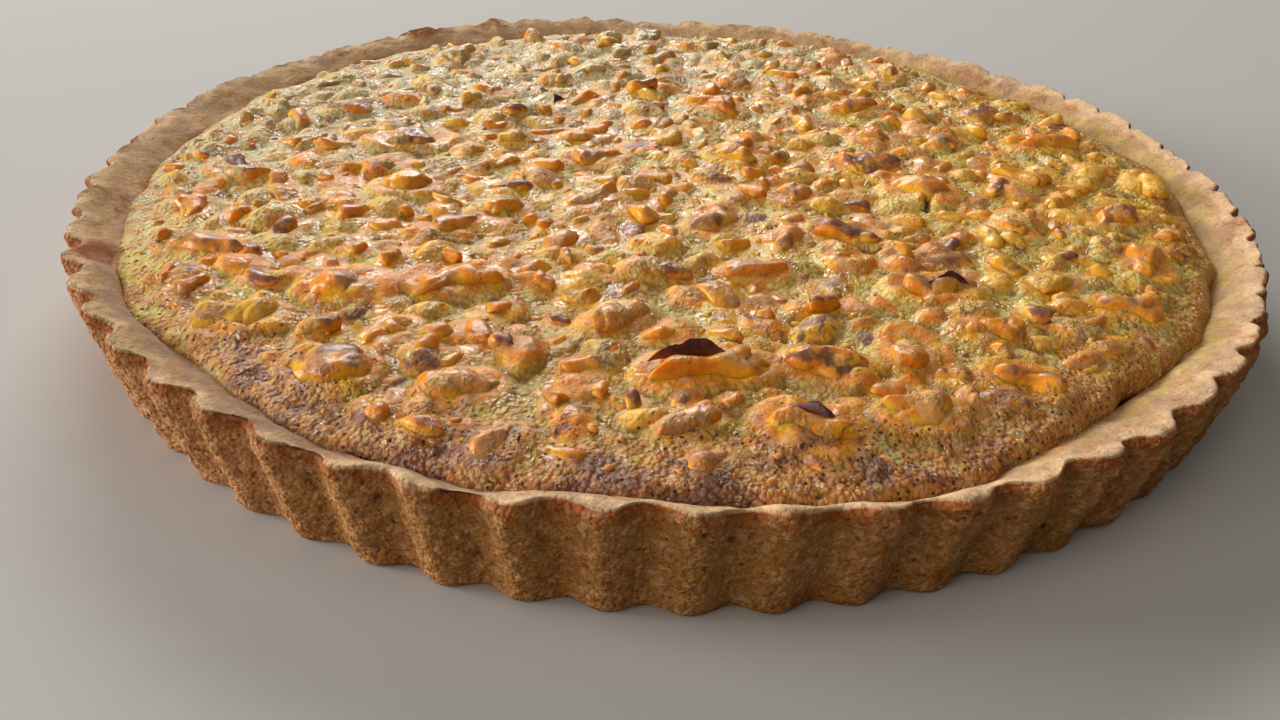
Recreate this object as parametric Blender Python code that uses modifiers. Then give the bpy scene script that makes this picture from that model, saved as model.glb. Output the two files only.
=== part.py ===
"""Walnut tart, 262 mm across: a fluted shortcrust shell, a set custard and chopped walnuts.

The shell is a turned section whose wall is bent into flutes and whose rim rises and falls as baked
dough does. The custard is a second turned section inside it, with the smaller walnut pieces fused to
its top. Each of the largest walnut pieces is a solid of its own, sunk in a pocket of the custard.

Lengths below are in millimetres and angles in degrees; finished() scales each mesh to metres.
+Z is up, the origin is the centre of the flat base, and -Y is the front.
"""

import math
import random
from collections import namedtuple

import bmesh
import bpy
from mathutils import Matrix, Vector

METRES = 0.001
GAP = 0.35                  # clearance between pieces that touch

# Shortcrust shell
RIM_RADIUS = 131.0          # to the crest of a flute, at the rim
BASE_RADIUS = 125.0         # to the crest of a flute, at the base
RIM_HEIGHT = 24.0
FLUTES = 60
FLUTE_PHASE = 3.0
CREST_SHARPNESS = 0.9
STEPS_PER_FLUTE = 4
RIM_FLUTE_DEPTH = 3.6       # crest to valley
BASE_FLUTE_DEPTH = 2.3
FLOOR_THICKNESS = 4.0
FLOOR_RADIUS = 110.0
RIM_EDGE = 0.7              # bevel along the outer edge of the rim
BASE_EDGE = 1.2             # bevel along the foot of the wall
RIM_WAVES = ((3, 0.35, 40), (7, 0.45, 110), (13, 0.35, 265), (23, 0.25, 70))

# Custard
EDGE_RADIUS = 119.5         # mean radius of its edge
FRONT = 265.0               # where the custard comes nearest to the rim
EDGE_TO_FRONT = 2.5
EDGE_TO_SIDES = 1.8
EDGE_WAVES = ((5, 0.6, 20), (9, 0.5, 200), (14, 0.35, 90))
EDGE_LEVEL = 21.2
CENTRE_LEVEL = 23.4
LIP = 2.0                   # height of the rounded edge above the line where it meets the shell
LIP_TO_RIGHT = 1.1          # how much more of it shows on the right, and less on the left
CUSTARD_RINGS = 7
CUSTARD_STEPS = 54
SWELLS = ((41.0, 25, 0.35), (29.0, 100, 0.30), (21.0, 160, 0.25))   # wavelength, heading, height

# Walnut pieces. The ones that stand out are placed by eye: x, y, length and heading.
PLACED = (
    (8, -91, 24, 14),       # long piece at the front, below a lifted flake of skin
    (-24, -113, 11, 60),
    (5, -106, 12, 35),
    (24, -106, 18, -8),
    (42, -101, 14, 5),
    (43, -81, 14, 75),
    (28, -88, 15, -20),
    (-58, -68, 19, -5),     # ridged piece, front left
    (-74, -80, 17, 12),     # smooth golden slice
    (-47, -83, 12, 65),
    (-39, -64, 19, 18),
    (52, -58, 18, 10),
    (75, -53, 12, 30),
    (87, -62, 13, -15),
    (59, -73, 13, 0),
    (62, -88, 15, -12),
    (38, -35, 16, -10),
    (-97, -14, 16, -25),
    (-17, 1, 15, 20),       # round-topped piece near the middle
    (46, 2, 17, -12),
    (57, -11, 17, -25),
    (-83, 27, 15, 0),
    (-62, 7, 22, 8),
    (93, 23, 19, 10),
    (97, -20, 14, 20),
    (-32, -99, 14, 10),
    (-54, -95, 16, -10),
    (17, -54, 14, 0),
)
MORE_LARGE = 18
LARGE_LENGTH = (13.0, 18.0)
SMALL_PIECES = 54
SMALL_LENGTH = (7.5, 12.0)
LAYOUT_SEED = 7
WIDTH_SHARE = (0.50, 0.66)  # of the length
MOST_WIDTH = 10.5
THICKNESS_SHARE = 0.95      # of the width
PROUD_SHARE = (0.36, 0.52)  # of the thickness that stands above the custard
PIECE_CLEARANCE = 1.0
EDGE_CLEARANCE = 4.0
OFFERS = 12                 # places tried for each scattered piece
SQUARENESS = 2.5            # exponent of the rounded-box form
LOBE_DEPTH = 0.16
SIDE_LOBE_DEPTH = 0.10
LOBE_TURN = 5.2             # how fast the lobes follow one another along a piece, in radians
SIDE_LOBE_TURN = 3.1
LOBE_SLANT = 1.4            # most that the lobes lean across it
LARGE_FACETS = (8, 5)       # segments and rings
SMALL_FACETS = (6, 4)

Walnut = namedtuple("Walnut", "x y length width thickness heading proud seed")

# Flakes of walnut skin that stand up on their kernels: x, y, length and heading
FLAKES = (
    (5, -90, 15, 8),
    (-98, -13, 11, -30),
    (53, -58, 11, 20),
    (24, -105, 9, -25),
)
FLAKE_THICKNESS = 1.1
FLAKE_RISE = 2.8            # above the top of its kernel
FLAKE_ROOT = 2.0            # below the top of its kernel
FLAKE_FACETS = (8, 4)

# Colours as they are baked: linear red, green and blue
PASTRY = (0.48, 0.25, 0.09, 1.0)
CUSTARD = (0.50, 0.33, 0.11, 1.0)
KERNEL = (0.46, 0.19, 0.05, 1.0)


def waves(angle, terms):
    """Sum of cosines round the tart, each term (count, height, phase)."""
    return sum(height * math.cos(math.radians(count * angle - phase)) for count, height, phase in terms)


def flute(angle):
    """1 on the crest of a flute and 0 in a valley, with crests a little broader than valleys."""
    turn = math.radians(FLUTES * (angle - FLUTE_PHASE))
    return (0.5 + 0.5 * math.cos(turn)) ** CREST_SHARPNESS


def wall_radius(angle, height):
    """Radius of the fluted outer wall."""
    share = height / RIM_HEIGHT
    crest = BASE_RADIUS + (RIM_RADIUS - BASE_RADIUS) * share
    depth = BASE_FLUTE_DEPTH + (RIM_FLUTE_DEPTH - BASE_FLUTE_DEPTH) * share
    return crest - depth * (1 - flute(angle))


def rim_height(angle):
    return RIM_HEIGHT + waves(angle, RIM_WAVES)


def edge_radius(angle):
    """Radius of the custard's edge, which runs close to the rim at the front."""
    swing = math.radians(angle - FRONT)
    return (EDGE_RADIUS + EDGE_TO_FRONT * math.cos(swing) + EDGE_TO_SIDES * math.cos(2 * swing)
            + waves(angle, EDGE_WAVES))


def edge_level(angle):
    return EDGE_LEVEL + 0.5 * waves(angle, RIM_WAVES)


def lip(angle):
    return LIP + LIP_TO_RIGHT * math.cos(math.radians(angle))


def custard_level(x, y):
    """Height of the custard between the walnut pieces: nearly level, rolling off towards its edge."""
    angle = math.degrees(math.atan2(y, x))
    share = min(1.0, math.hypot(x, y) / edge_radius(angle))
    edge = edge_level(angle)
    level = edge + (CENTRE_LEVEL - edge) * (1 - share ** 7)
    for length, heading, height in SWELLS:
        along = x * math.cos(math.radians(heading)) + y * math.sin(math.radians(heading))
        level += height * math.sin(math.tau * along / length) * (1 - share ** 4)
    return level


def shell_section(angle):
    """(radius, height) points of the shell, from the middle of its floor over the rim to its base."""
    meeting_r = edge_radius(angle) + GAP
    meeting_z = edge_level(angle) - lip(angle)
    rim_z = rim_height(angle)
    rim_r = wall_radius(angle, RIM_HEIGHT) - RIM_EDGE

    def slope(outward, upward):
        return (meeting_r + outward * (rim_r - meeting_r), meeting_z + upward * (rim_z - meeting_z))

    foot_r = wall_radius(angle, 0)
    return [
        (0.0, FLOOR_THICKNESS),
        (FLOOR_RADIUS, FLOOR_THICKNESS),
        (meeting_r, meeting_z),
        slope(0.60, 0.86),
        (rim_r, rim_z),
        (rim_r + RIM_EDGE, rim_z - 1.5 * RIM_EDGE),
        (foot_r, BASE_EDGE),
        (foot_r - BASE_EDGE, 0.0),
        (0.0, 0.0),
    ]


def custard_section(angle):
    """(radius, height) points of the custard, from the middle of its top over its lip to its base."""
    edge = edge_radius(angle)
    turn = math.radians(angle)
    top = []
    for ring in range(CUSTARD_RINGS + 1):
        radius = edge * ring / (CUSTARD_RINGS + 0.25)
        top.append((radius, custard_level(radius * math.cos(turn), radius * math.sin(turn))))
    floor = FLOOR_THICKNESS + GAP
    return top + [
        (edge - 0.5, edge_level(angle) - 0.3 * lip(angle)),
        (edge, edge_level(angle) - lip(angle) + 0.1),
        (FLOOR_RADIUS - GAP, floor),
        (0.0, floor),
    ]


def baked(name, colour, roughness):
    """A plain material in the colour and gloss of the baked part."""
    material = bpy.data.materials.new(name)
    material.use_nodes = True
    shader = material.node_tree.nodes["Principled BSDF"]
    shader.inputs["Base Color"].default_value = colour
    shader.inputs["Roughness"].default_value = roughness
    material.diffuse_color = colour
    return material


def finished(mesh, name, material, home):
    """Scales a mesh from millimetres to metres and links it as a named object of that material."""
    mesh.transform(Matrix.Scale(METRES, 4))
    mesh.name = name
    mesh.materials.clear()
    mesh.materials.append(material)
    piece = bpy.data.objects.new(name, mesh)
    home.objects.link(piece)
    return piece


def turned(section_at, steps):
    """Mesh of a section turned round Z, each vertex then moved to the section at its own angle."""
    start = section_at(0.0)
    profile = bpy.data.meshes.new("profile")
    profile.from_pydata([(r, 0, z) for r, z in start], [(i, i + 1) for i in range(len(start) - 1)], [])
    guide = bpy.data.objects.new("profile", profile)
    bpy.context.scene.collection.objects.link(guide)
    screw = guide.modifiers.new("turn", "SCREW")
    screw.steps = screw.render_steps = steps
    screw.use_merge_vertices = True
    screw.merge_threshold = 0.0001
    mesh = bpy.data.meshes.new_from_object(guide.evaluated_get(bpy.context.evaluated_depsgraph_get()))
    bpy.data.objects.remove(guide)

    form = bmesh.new()
    form.from_mesh(mesh)
    bmesh.ops.remove_doubles(form, verts=form.verts, dist=0.001)
    for vertex in form.verts:
        radius = math.hypot(vertex.co.x, vertex.co.y)
        if radius < 0.001:
            continue
        ring = min(range(len(start)), key=lambda i: math.dist(start[i], (radius, vertex.co.z)))
        turn = math.atan2(vertex.co.y, vertex.co.x)
        r, z = section_at(math.degrees(turn))[ring]
        vertex.co = (r * math.cos(turn), r * math.sin(turn), z)
    bmesh.ops.recalc_face_normals(form, faces=form.faces)
    form.to_mesh(mesh)
    form.free()
    return mesh


def spine_ends(walnut):
    """Ends of the line along a piece's middle whose distance from its outline is half its width."""
    reach = (walnut.length - walnut.width) / 2
    way = Vector((math.cos(math.radians(walnut.heading)), math.sin(math.radians(walnut.heading))))
    centre = Vector((walnut.x, walnut.y))
    return centre - way * reach, centre + way * reach


def point_to_line(point, start, end):
    way = end - start
    share = max(0.0, min(1.0, (point - start).dot(way) / max(way.length_squared, 1e-9)))
    return (point - start - way * share).length


def apart(one, other):
    """Distance between the outlines of two pieces, seen from above."""
    a, b = spine_ends(one)
    c, d = spine_ends(other)
    to_other = min(point_to_line(a, c, d), point_to_line(b, c, d))
    to_one = min(point_to_line(c, a, b), point_to_line(d, a, b))
    return min(to_other, to_one) - (one.width + other.width) / 2


def chopped(x, y, length, heading, seed):
    """A walnut piece of that length, with its other sizes drawn from its own seed."""
    draw = random.Random(seed)
    width = min(MOST_WIDTH, length * draw.uniform(*WIDTH_SHARE))
    thickness = width * THICKNESS_SHARE
    proud = thickness * draw.uniform(*PROUD_SHARE)
    return Walnut(x, y, length, width, thickness, heading, proud, seed)


def scattered(count, lengths, taken, first_seed, draw):
    """Pieces from long to short. Each lies at the free place, of those that the seeded draw offers,
    that is farthest from the pieces before it, so the spread is even."""
    found = []
    for index in range(count):
        length = lengths[1] + (lengths[0] - lengths[1]) * index / (count - 1)
        offers = []
        for _ in range(OFFERS):
            angle = draw.uniform(0, 360)
            radius = (edge_radius(angle) - EDGE_CLEARANCE - length / 2) * math.sqrt(draw.random())
            x, y = radius * math.cos(math.radians(angle)), radius * math.sin(math.radians(angle))
            piece = chopped(x, y, length, draw.uniform(-90, 90), first_seed + index)
            offers.append((min(apart(piece, other) for other in taken + found), piece))
        room, piece = max(offers)
        if room > PIECE_CLEARANCE:
            found.append(piece)
    return found


def layout():
    """The large pieces, which are solids of their own, and the smaller ones, fused to the custard."""
    draw = random.Random(LAYOUT_SEED)
    large = [chopped(x, y, length, heading, 100 + i) for i, (x, y, length, heading) in enumerate(PLACED)]
    large += scattered(MORE_LARGE, LARGE_LENGTH, large, 200, draw)
    small = scattered(SMALL_PIECES, SMALL_LENGTH, large, 300, draw)
    return large, small


def kernel_top(walnut):
    return custard_level(walnut.x, walnut.y) + walnut.proud


def carrier(spot, kernels):
    """The kernel that a flake of skin stands on: the one whose middle is nearest."""
    return min(kernels, key=lambda walnut: math.hypot(walnut.x - spot[0], walnut.y - spot[1]))


def kernel_form(x, y, z, seed):
    """Share of the unit radius that a kernel keeps in the direction (x, y, z): a rounded box with
    lobes along its length and shallower ones across it."""
    draw = random.Random(seed)
    phase, side_phase = draw.uniform(0, math.tau), draw.uniform(0, math.tau)
    slant = draw.uniform(-LOBE_SLANT, LOBE_SLANT)
    box = (abs(x) ** SQUARENESS + abs(y) ** SQUARENESS + abs(z) ** SQUARENESS) ** (-1 / SQUARENESS)
    lobes = 0.5 + 0.5 * math.cos(LOBE_TURN * x + slant * y + phase)
    side_lobes = 0.5 + 0.5 * math.cos(SIDE_LOBE_TURN * (y + z / 2) + side_phase)
    return box * (1 - LOBE_DEPTH * lobes - SIDE_LOBE_DEPTH * side_lobes)


def kernel(walnut, facets, swell=0.0):
    """Mesh of one walnut piece in its place, in millimetres; swell moves its surface outwards."""
    form = bmesh.new()
    bmesh.ops.create_uvsphere(form, u_segments=facets[0], v_segments=facets[1], radius=1.0)
    for vertex in form.verts:
        vertex.co *= kernel_form(*vertex.co, walnut.seed)
    for axis, size in enumerate((walnut.length, walnut.width, walnut.thickness)):
        low = min(vertex.co[axis] for vertex in form.verts)
        high = max(vertex.co[axis] for vertex in form.verts)
        for vertex in form.verts:
            vertex.co[axis] = ((vertex.co[axis] - low) / (high - low) - 0.5) * size
    bmesh.ops.triangulate(form, faces=form.faces)
    if swell:
        form.normal_update()
        offsets = [vertex.normal * swell * vertex.calc_shell_factor() for vertex in form.verts]
        for vertex, offset in zip(form.verts, offsets):
            vertex.co += offset
    place = Matrix.Translation((walnut.x, walnut.y, kernel_top(walnut) - walnut.thickness / 2))
    turn = Matrix.Rotation(math.radians(walnut.heading), 4, "Z")
    bmesh.ops.transform(form, matrix=place @ turn, verts=form.verts)
    mesh = bpy.data.meshes.new("kernel")
    form.to_mesh(mesh)
    form.free()
    return mesh


def flake(x, y, length, heading, kernel_top):
    """Mesh of one flake of skin: a thin leaf on edge, its root inside the kernel that carries it."""
    form = bmesh.new()
    bmesh.ops.create_uvsphere(form, u_segments=FLAKE_FACETS[0], v_segments=FLAKE_FACETS[1], radius=0.5)
    size = Matrix.Diagonal((length, FLAKE_THICKNESS, FLAKE_RISE + FLAKE_ROOT, 1.0))
    place = Matrix.Translation((x, y, kernel_top + (FLAKE_RISE - FLAKE_ROOT) / 2))
    turn = Matrix.Rotation(math.radians(heading), 4, "Z")
    bmesh.ops.transform(form, matrix=place @ turn @ size, verts=form.verts)
    mesh = bpy.data.meshes.new("flake")
    form.to_mesh(mesh)
    form.free()
    return mesh


def collected(name, meshes, material):
    """A hidden collection of solids, for one Boolean to join or cut with."""
    group = bpy.data.collections.new(name)
    bpy.context.scene.collection.children.link(group)
    for index, mesh in enumerate(meshes):
        guide = finished(mesh, f"{name}_{index:02d}", material, group)
        guide.hide_render = True
        guide.display_type = "WIRE"
    return group


def one_body(mesh):
    """Drops the loose scraps and fills the sealed hollows that joining many pieces leaves: only the
    shell with the most faces stays."""
    form = bmesh.new()
    form.from_mesh(mesh)
    unseen = set(form.faces)
    shells = []
    while unseen:
        border = {unseen.pop()}
        shell = set(border)
        while border:
            border = {face for old in border for edge in old.edges for face in edge.link_faces} & unseen
            unseen -= border
            shell |= border
        shells.append(shell)
    largest = max(shells, key=len)
    bmesh.ops.delete(form, geom=[face for face in form.faces if face not in largest], context="FACES")
    form.to_mesh(mesh)
    form.free()


def combine(target, group, operation):
    """Joins or cuts the target with every mesh of the group, and removes the group."""
    boolean = target.modifiers.new(operation.lower(), "BOOLEAN")
    boolean.operation = operation
    boolean.operand_type = "COLLECTION"
    boolean.collection = group
    mesh = bpy.data.meshes.new_from_object(target.evaluated_get(bpy.context.evaluated_depsgraph_get()))
    target.modifiers.remove(boolean)
    target.data = mesh
    for guide in list(group.objects):
        bpy.data.objects.remove(guide)
    bpy.data.collections.remove(group)


def main():
    for old in list(bpy.data.objects):
        bpy.data.objects.remove(old)
    tart = bpy.data.collections.new("walnut_tart")
    bpy.context.scene.collection.children.link(tart)

    pastry = baked("pastry", PASTRY, 0.8)
    set_custard = baked("custard", CUSTARD, 0.45)
    nut = baked("walnut", KERNEL, 0.5)
    finished(turned(shell_section, FLUTES * STEPS_PER_FLUTE), "crust", pastry, tart)
    filling = finished(turned(custard_section, CUSTARD_STEPS), "filling", set_custard, tart)

    large, small = layout()
    small_kernels = [kernel(walnut, SMALL_FACETS) for walnut in small]
    pockets = [kernel(walnut, LARGE_FACETS, swell=GAP) for walnut in large]
    combine(filling, collected("joined", small_kernels, nut), "UNION")
    combine(filling, collected("pockets", pockets, set_custard), "DIFFERENCE")
    one_body(filling.data)

    for index, walnut in enumerate(large, start=1):
        piece = finished(kernel(walnut, LARGE_FACETS), f"walnut_{index:02d}", nut, tart)
        flakes = [flake(*spot, kernel_top(walnut)) for spot in FLAKES if carrier(spot, large) is walnut]
        if flakes:
            combine(piece, collected("flakes", flakes, nut), "UNION")


main()
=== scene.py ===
"""Looks of the walnut tart: sandy shortcrust, bubbled custard and some hundreds of chopped walnuts.

Lengths are in millimetres and angles in degrees, and put_mesh() brings each surface to metres. +Z is
up, the origin is the centre of the base and -Y is the front. The sizes and the rule that lays out the
walnuts are those of the solids, so every surface here lies on the solid that it stands for.
"""

import functools
import itertools
import math
import random
from collections import namedtuple

import bpy
import numpy as np
from bpy.props import FloatProperty, FloatVectorProperty, IntProperty, PointerProperty
from mathutils import Matrix, Vector


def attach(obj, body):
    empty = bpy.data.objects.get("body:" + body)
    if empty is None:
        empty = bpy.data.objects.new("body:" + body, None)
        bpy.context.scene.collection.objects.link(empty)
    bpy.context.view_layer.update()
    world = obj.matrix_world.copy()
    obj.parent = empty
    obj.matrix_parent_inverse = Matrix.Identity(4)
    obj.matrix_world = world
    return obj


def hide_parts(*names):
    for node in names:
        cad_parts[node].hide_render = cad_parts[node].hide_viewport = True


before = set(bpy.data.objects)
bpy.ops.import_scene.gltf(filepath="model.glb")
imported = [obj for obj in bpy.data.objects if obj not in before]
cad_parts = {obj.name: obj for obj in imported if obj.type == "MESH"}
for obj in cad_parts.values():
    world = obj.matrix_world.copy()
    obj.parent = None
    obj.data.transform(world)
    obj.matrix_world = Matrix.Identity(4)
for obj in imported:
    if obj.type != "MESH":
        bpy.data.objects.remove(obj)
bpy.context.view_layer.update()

bl_info = {
    "name": "Walnut Tart",
    "version": (1, 0, 0),
    "blender": (4, 5, 0),
    "location": "View3D > Sidebar > Tart",
    "description": "Builds the crust, custard and walnuts of a baked tart",
    "category": "Object",
}

MM = 0.001
GAP = 0.35

# Shortcrust shell
RIM_RADIUS = 131.0
BASE_RADIUS = 125.0
RIM_HEIGHT = 24.0
FLUTES = 60
FLUTE_PHASE = 3.0
CREST_SHARPNESS = 0.9
RIM_FLUTE_DEPTH = 3.6
BASE_FLUTE_DEPTH = 2.3
FLOOR_THICKNESS = 4.0
FLOOR_RADIUS = 110.0
RIM_WAVES = ((3, 0.35, 40), (7, 0.45, 110), (13, 0.35, 265), (23, 0.25, 70))

# Custard
EDGE_RADIUS = 119.5
FRONT = 265.0
EDGE_TO_FRONT = 2.5
EDGE_TO_SIDES = 1.8
EDGE_WAVES = ((5, 0.6, 20), (9, 0.5, 200), (14, 0.35, 90))
EDGE_LEVEL = 21.2
CENTRE_LEVEL = 23.4
LIP = 2.0
LIP_TO_RIGHT = 1.1
SWELLS = ((41.0, 25, 0.35), (29.0, 100, 0.30), (21.0, 160, 0.25))

# Walnut pieces that stand out: x, y, length and heading
PLACED = (
    (8, -91, 24, 14), (-24, -113, 11, 60), (5, -106, 12, 35), (24, -106, 18, -8),
    (42, -101, 14, 5), (43, -81, 14, 75), (28, -88, 15, -20), (-58, -68, 19, -5),
    (-74, -80, 17, 12), (-47, -83, 12, 65), (-39, -64, 19, 18), (52, -58, 18, 10),
    (75, -53, 12, 30), (87, -62, 13, -15), (59, -73, 13, 0), (62, -88, 15, -12),
    (38, -35, 16, -10), (-97, -14, 16, -25), (-17, 1, 15, 20), (46, 2, 17, -12),
    (57, -11, 17, -25), (-83, 27, 15, 0), (-62, 7, 22, 8), (93, 23, 19, 10),
    (97, -20, 14, 20), (-32, -99, 14, 10), (-54, -95, 16, -10), (17, -54, 14, 0),
)
MORE_LARGE = 18
LARGE_LENGTH = (13.0, 18.0)
SMALL_PIECES = 54
SMALL_LENGTH = (7.5, 12.0)
LAYOUT_SEED = 7
WIDTH_SHARE = (0.50, 0.66)
MOST_WIDTH = 10.5
THICKNESS_SHARE = 0.95
PROUD_SHARE = (0.36, 0.52)
PIECE_CLEARANCE = 1.0
EDGE_CLEARANCE = 4.0
OFFERS = 12
SQUARENESS = 2.5
LOBE_DEPTH = 0.16
SIDE_LOBE_DEPTH = 0.10
LOBE_TURN = 5.2
SIDE_LOBE_TURN = 3.1
LOBE_SLANT = 1.4

Walnut = namedtuple("Walnut", "x y length width thickness heading proud seed")

# Flakes of skin on their kernels: x, y, length and heading
FLAKES = (
    (5, -90, 15, 8), (-98, -13, 11, -30), (53, -58, 11, 20), (24, -105, 9, -25),
)
FLAKE_ROOT = 2.0


def waves(angle, terms):
    """Sum of cosines round the tart, each term (count, height, phase)."""
    return sum(height * np.cos(np.radians(count * angle - phase)) for count, height, phase in terms)


def flute(angle):
    """1 on the crest of a flute and 0 in a valley: a raised cosine to the power CREST_SHARPNESS."""
    turn = np.radians(FLUTES * (angle - FLUTE_PHASE))
    return (0.5 + 0.5 * np.cos(turn)) ** CREST_SHARPNESS


def wall_radius(angle, height):
    """Radius of the outer wall: it widens evenly with height, less the depth of the flute."""
    share = height / RIM_HEIGHT
    crest = BASE_RADIUS + (RIM_RADIUS - BASE_RADIUS) * share
    depth = BASE_FLUTE_DEPTH + (RIM_FLUTE_DEPTH - BASE_FLUTE_DEPTH) * share
    return crest - depth * (1 - flute(angle))


def rim_height(angle):
    return RIM_HEIGHT + waves(angle, RIM_WAVES)


def edge_radius(angle):
    """Radius of the custard's edge: a mean, a swing to the front, a squash and small waves."""
    swing = np.radians(angle - FRONT)
    return (EDGE_RADIUS + EDGE_TO_FRONT * np.cos(swing) + EDGE_TO_SIDES * np.cos(2 * swing)
            + waves(angle, EDGE_WAVES))


def edge_level(angle):
    return EDGE_LEVEL + 0.5 * waves(angle, RIM_WAVES)


def lip(angle):
    return LIP + LIP_TO_RIGHT * np.cos(np.radians(angle))


def custard_level(x, y):
    """Height of the custard between the walnuts: the edge's level, plus a crown that falls off with the
    seventh power of the radius, plus three sine swells that fade at the edge."""
    angle = np.degrees(np.arctan2(y, x))
    share = np.minimum(1.0, np.hypot(x, y) / edge_radius(angle))
    edge = edge_level(angle)
    level = edge + (CENTRE_LEVEL - edge) * (1 - share ** 7)
    for length, heading, height in SWELLS:
        along = x * math.cos(math.radians(heading)) + y * math.sin(math.radians(heading))
        level = level + height * np.sin(math.tau * along / length) * (1 - share ** 4)
    return level


def spine_ends(walnut):
    """Ends of the line along a piece's middle whose distance from its outline is half its width."""
    reach = (walnut.length - walnut.width) / 2
    way = Vector((math.cos(math.radians(walnut.heading)), math.sin(math.radians(walnut.heading))))
    centre = Vector((walnut.x, walnut.y))
    return centre - way * reach, centre + way * reach


def point_to_line(point, start, end):
    way = end - start
    share = max(0.0, min(1.0, (point - start).dot(way) / max(way.length_squared, 1e-9)))
    return (point - start - way * share).length


def apart(one, other):
    """Distance between the outlines of two pieces, seen from above."""
    a, b = spine_ends(one)
    c, d = spine_ends(other)
    to_other = min(point_to_line(a, c, d), point_to_line(b, c, d))
    to_one = min(point_to_line(c, a, b), point_to_line(d, a, b))
    return min(to_other, to_one) - (one.width + other.width) / 2


def chopped(x, y, length, heading, seed):
    """A walnut piece of that length, with its other sizes drawn from its own seed."""
    draw = random.Random(seed)
    width = min(MOST_WIDTH, length * draw.uniform(*WIDTH_SHARE))
    thickness = width * THICKNESS_SHARE
    proud = thickness * draw.uniform(*PROUD_SHARE)
    return Walnut(x, y, length, width, thickness, heading, proud, seed)


def scattered(count, lengths, taken, first_seed, draw):
    """Pieces from long to short, each at the offered place that is farthest from those before it."""
    found = []
    for index in range(count):
        length = lengths[1] + (lengths[0] - lengths[1]) * index / (count - 1)
        offers = []
        for _ in range(OFFERS):
            angle = draw.uniform(0, 360)
            radius = (edge_radius(angle) - EDGE_CLEARANCE - length / 2) * math.sqrt(draw.random())
            x, y = radius * math.cos(math.radians(angle)), radius * math.sin(math.radians(angle))
            piece = chopped(x, y, length, draw.uniform(-90, 90), first_seed + index)
            offers.append((min(apart(piece, other) for other in taken + found), piece))
        room, piece = max(offers)
        if room > PIECE_CLEARANCE:
            found.append(piece)
    return found


@functools.cache
def layout():
    """The large pieces, which are nodes of their own, and the smaller ones on the custard."""
    draw = random.Random(LAYOUT_SEED)
    large = [chopped(x, y, length, heading, 100 + i) for i, (x, y, length, heading) in enumerate(PLACED)]
    large += scattered(MORE_LARGE, LARGE_LENGTH, large, 200, draw)
    small = scattered(SMALL_PIECES, SMALL_LENGTH, large, 300, draw)
    return large, small


# What only the looks need

BIT_LENGTH = (4.5, 10.0)    # walnut pieces too many to be solids of their own
BIT_OVERLAP = 0.9           # how far two of them may run into each other
CRUMB_LENGTH = (1.1, 3.0)
MOUND_LENGTH = (5.0, 15.0)  # nuts that lie under a skin of custard
MOUND_OVERLAP = 1.6
MOUND_WIDTH = (0.50, 0.85)
MOUND_HEIGHT = 0.27         # of a mound's width
MOST_MOUND = 2.6
CLIMB = 0.42                # of a piece's proud height, up which the custard climbs its sides
CLIMB_REACH = 1.8
COLLAR_REACH = 4.0
MOST_BEND = 2.6             # by which noise bends the outline of a mound
KNOB_HEIGHT = 0.35
PIT_DEPTH = 0.9
CRACK_DEPTH = 1.6
CHIP_DEPTH = 0.7            # of the chips and pits in the crust
CUTS = 6                    # flat planes that cut each kernel
CUT_EASE = 0.04
STREWN_CLEARANCE = 2.0
CUSTARD_ROWS = 340
CUSTARD_COLUMNS = 280
NEARER = 0.27               # how much closer the grid's lines lie in front
LIP_WIDTH = 2.6
LIP_DEEPER = 0.6            # than in the solid
SPILL = 1.1                 # how far the custard's lip runs out over the pastry
COLUMNS_PER_FLUTE = 22
SHELF_ROWS = 22
WALL_ROWS = 41
RIM_ROUND = 1.2
WORN_EDGE = 1.9             # how far the crests are worn back at the sides and behind
SHELF_CURVE = 1.8
FOOT_ROUND = 1.2
INSIDE_ROWS = 3             # of the crust's inner wall, under the custard
ROUND_TURNS = (15, 30, 45, 60, 75, 90)
CAMERA_SIDE = 258           # angle of the rim that the camera looks at, where the foam is brownest
SMEARED = 235               # angle of the shelf where the foam has run over it
CRISPEST = 352              # angle of the custard's most toasted edge
LEAF_HEIGHT = 4.6           # of the longest flake of skin, its root in the kernel counted
LEAF_STEPS = (32, 22)       # along a flake, and up its front and down its back
PLACES_TRIED = 8
WALNUT = "baked walnut"
OFF_AXES = np.array(Matrix.Rotation(0.9, 3, Vector((1.0, 2.0, 3.0)).normalized()))

# Tone and roast of the walnut pieces that stand out: low tones are yellow, high roasts brown
PLACED_LOOKS = (
    (0.75, 0.35), (0.85, 0.00), (0.80, 0.30), (0.60, 0.10), (0.75, 0.20),
    (0.70, 0.20), (0.80, 0.75), (0.80, 0.40), (0.10, 0.00), (0.35, 0.05),
    (0.60, 0.35), (0.95, 0.45), (0.12, 0.30), (0.80, 0.40), (0.50, 0.00),
    (0.70, 0.55), (0.70, 0.80), (0.80, 0.70), (0.85, 0.15), (0.95, 0.75),
    (0.80, 0.10), (0.90, 0.70), (0.85, 0.85), (0.45, 0.10), (0.80, 0.50),
    (0.70, 0.20), (0.85, 0.65), (0.85, 0.35),
)
# Toasted spots on the shelf: angle, half width in degrees, radius, half width and strength
TOASTED = (
    (206, 2.6, 123.5, 6.0, 1.4), (180, 2.5, 129.5, 4.0, 1.3), (127, 4.0, 128.0, 5.0, 1.2),
    (118, 2.0, 128.0, 4.0, 0.9), (150, 2.0, 129.0, 3.0, 0.7), (352, 2.5, 127.0, 3.0, 0.8),
    (80, 5.0, 126.0, 3.0, 0.4), (240, 1.5, 127.0, 2.5, 0.5),
)
# How far the custard ends short of its solid's edge or beyond it: angle, half width in degrees and shift
EDGE_SHIFTS = (
    (231, 9, -3.5), (266, 9, -3.5), (307, 13, -4.5), (4, 8, 2.0),
)
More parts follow.
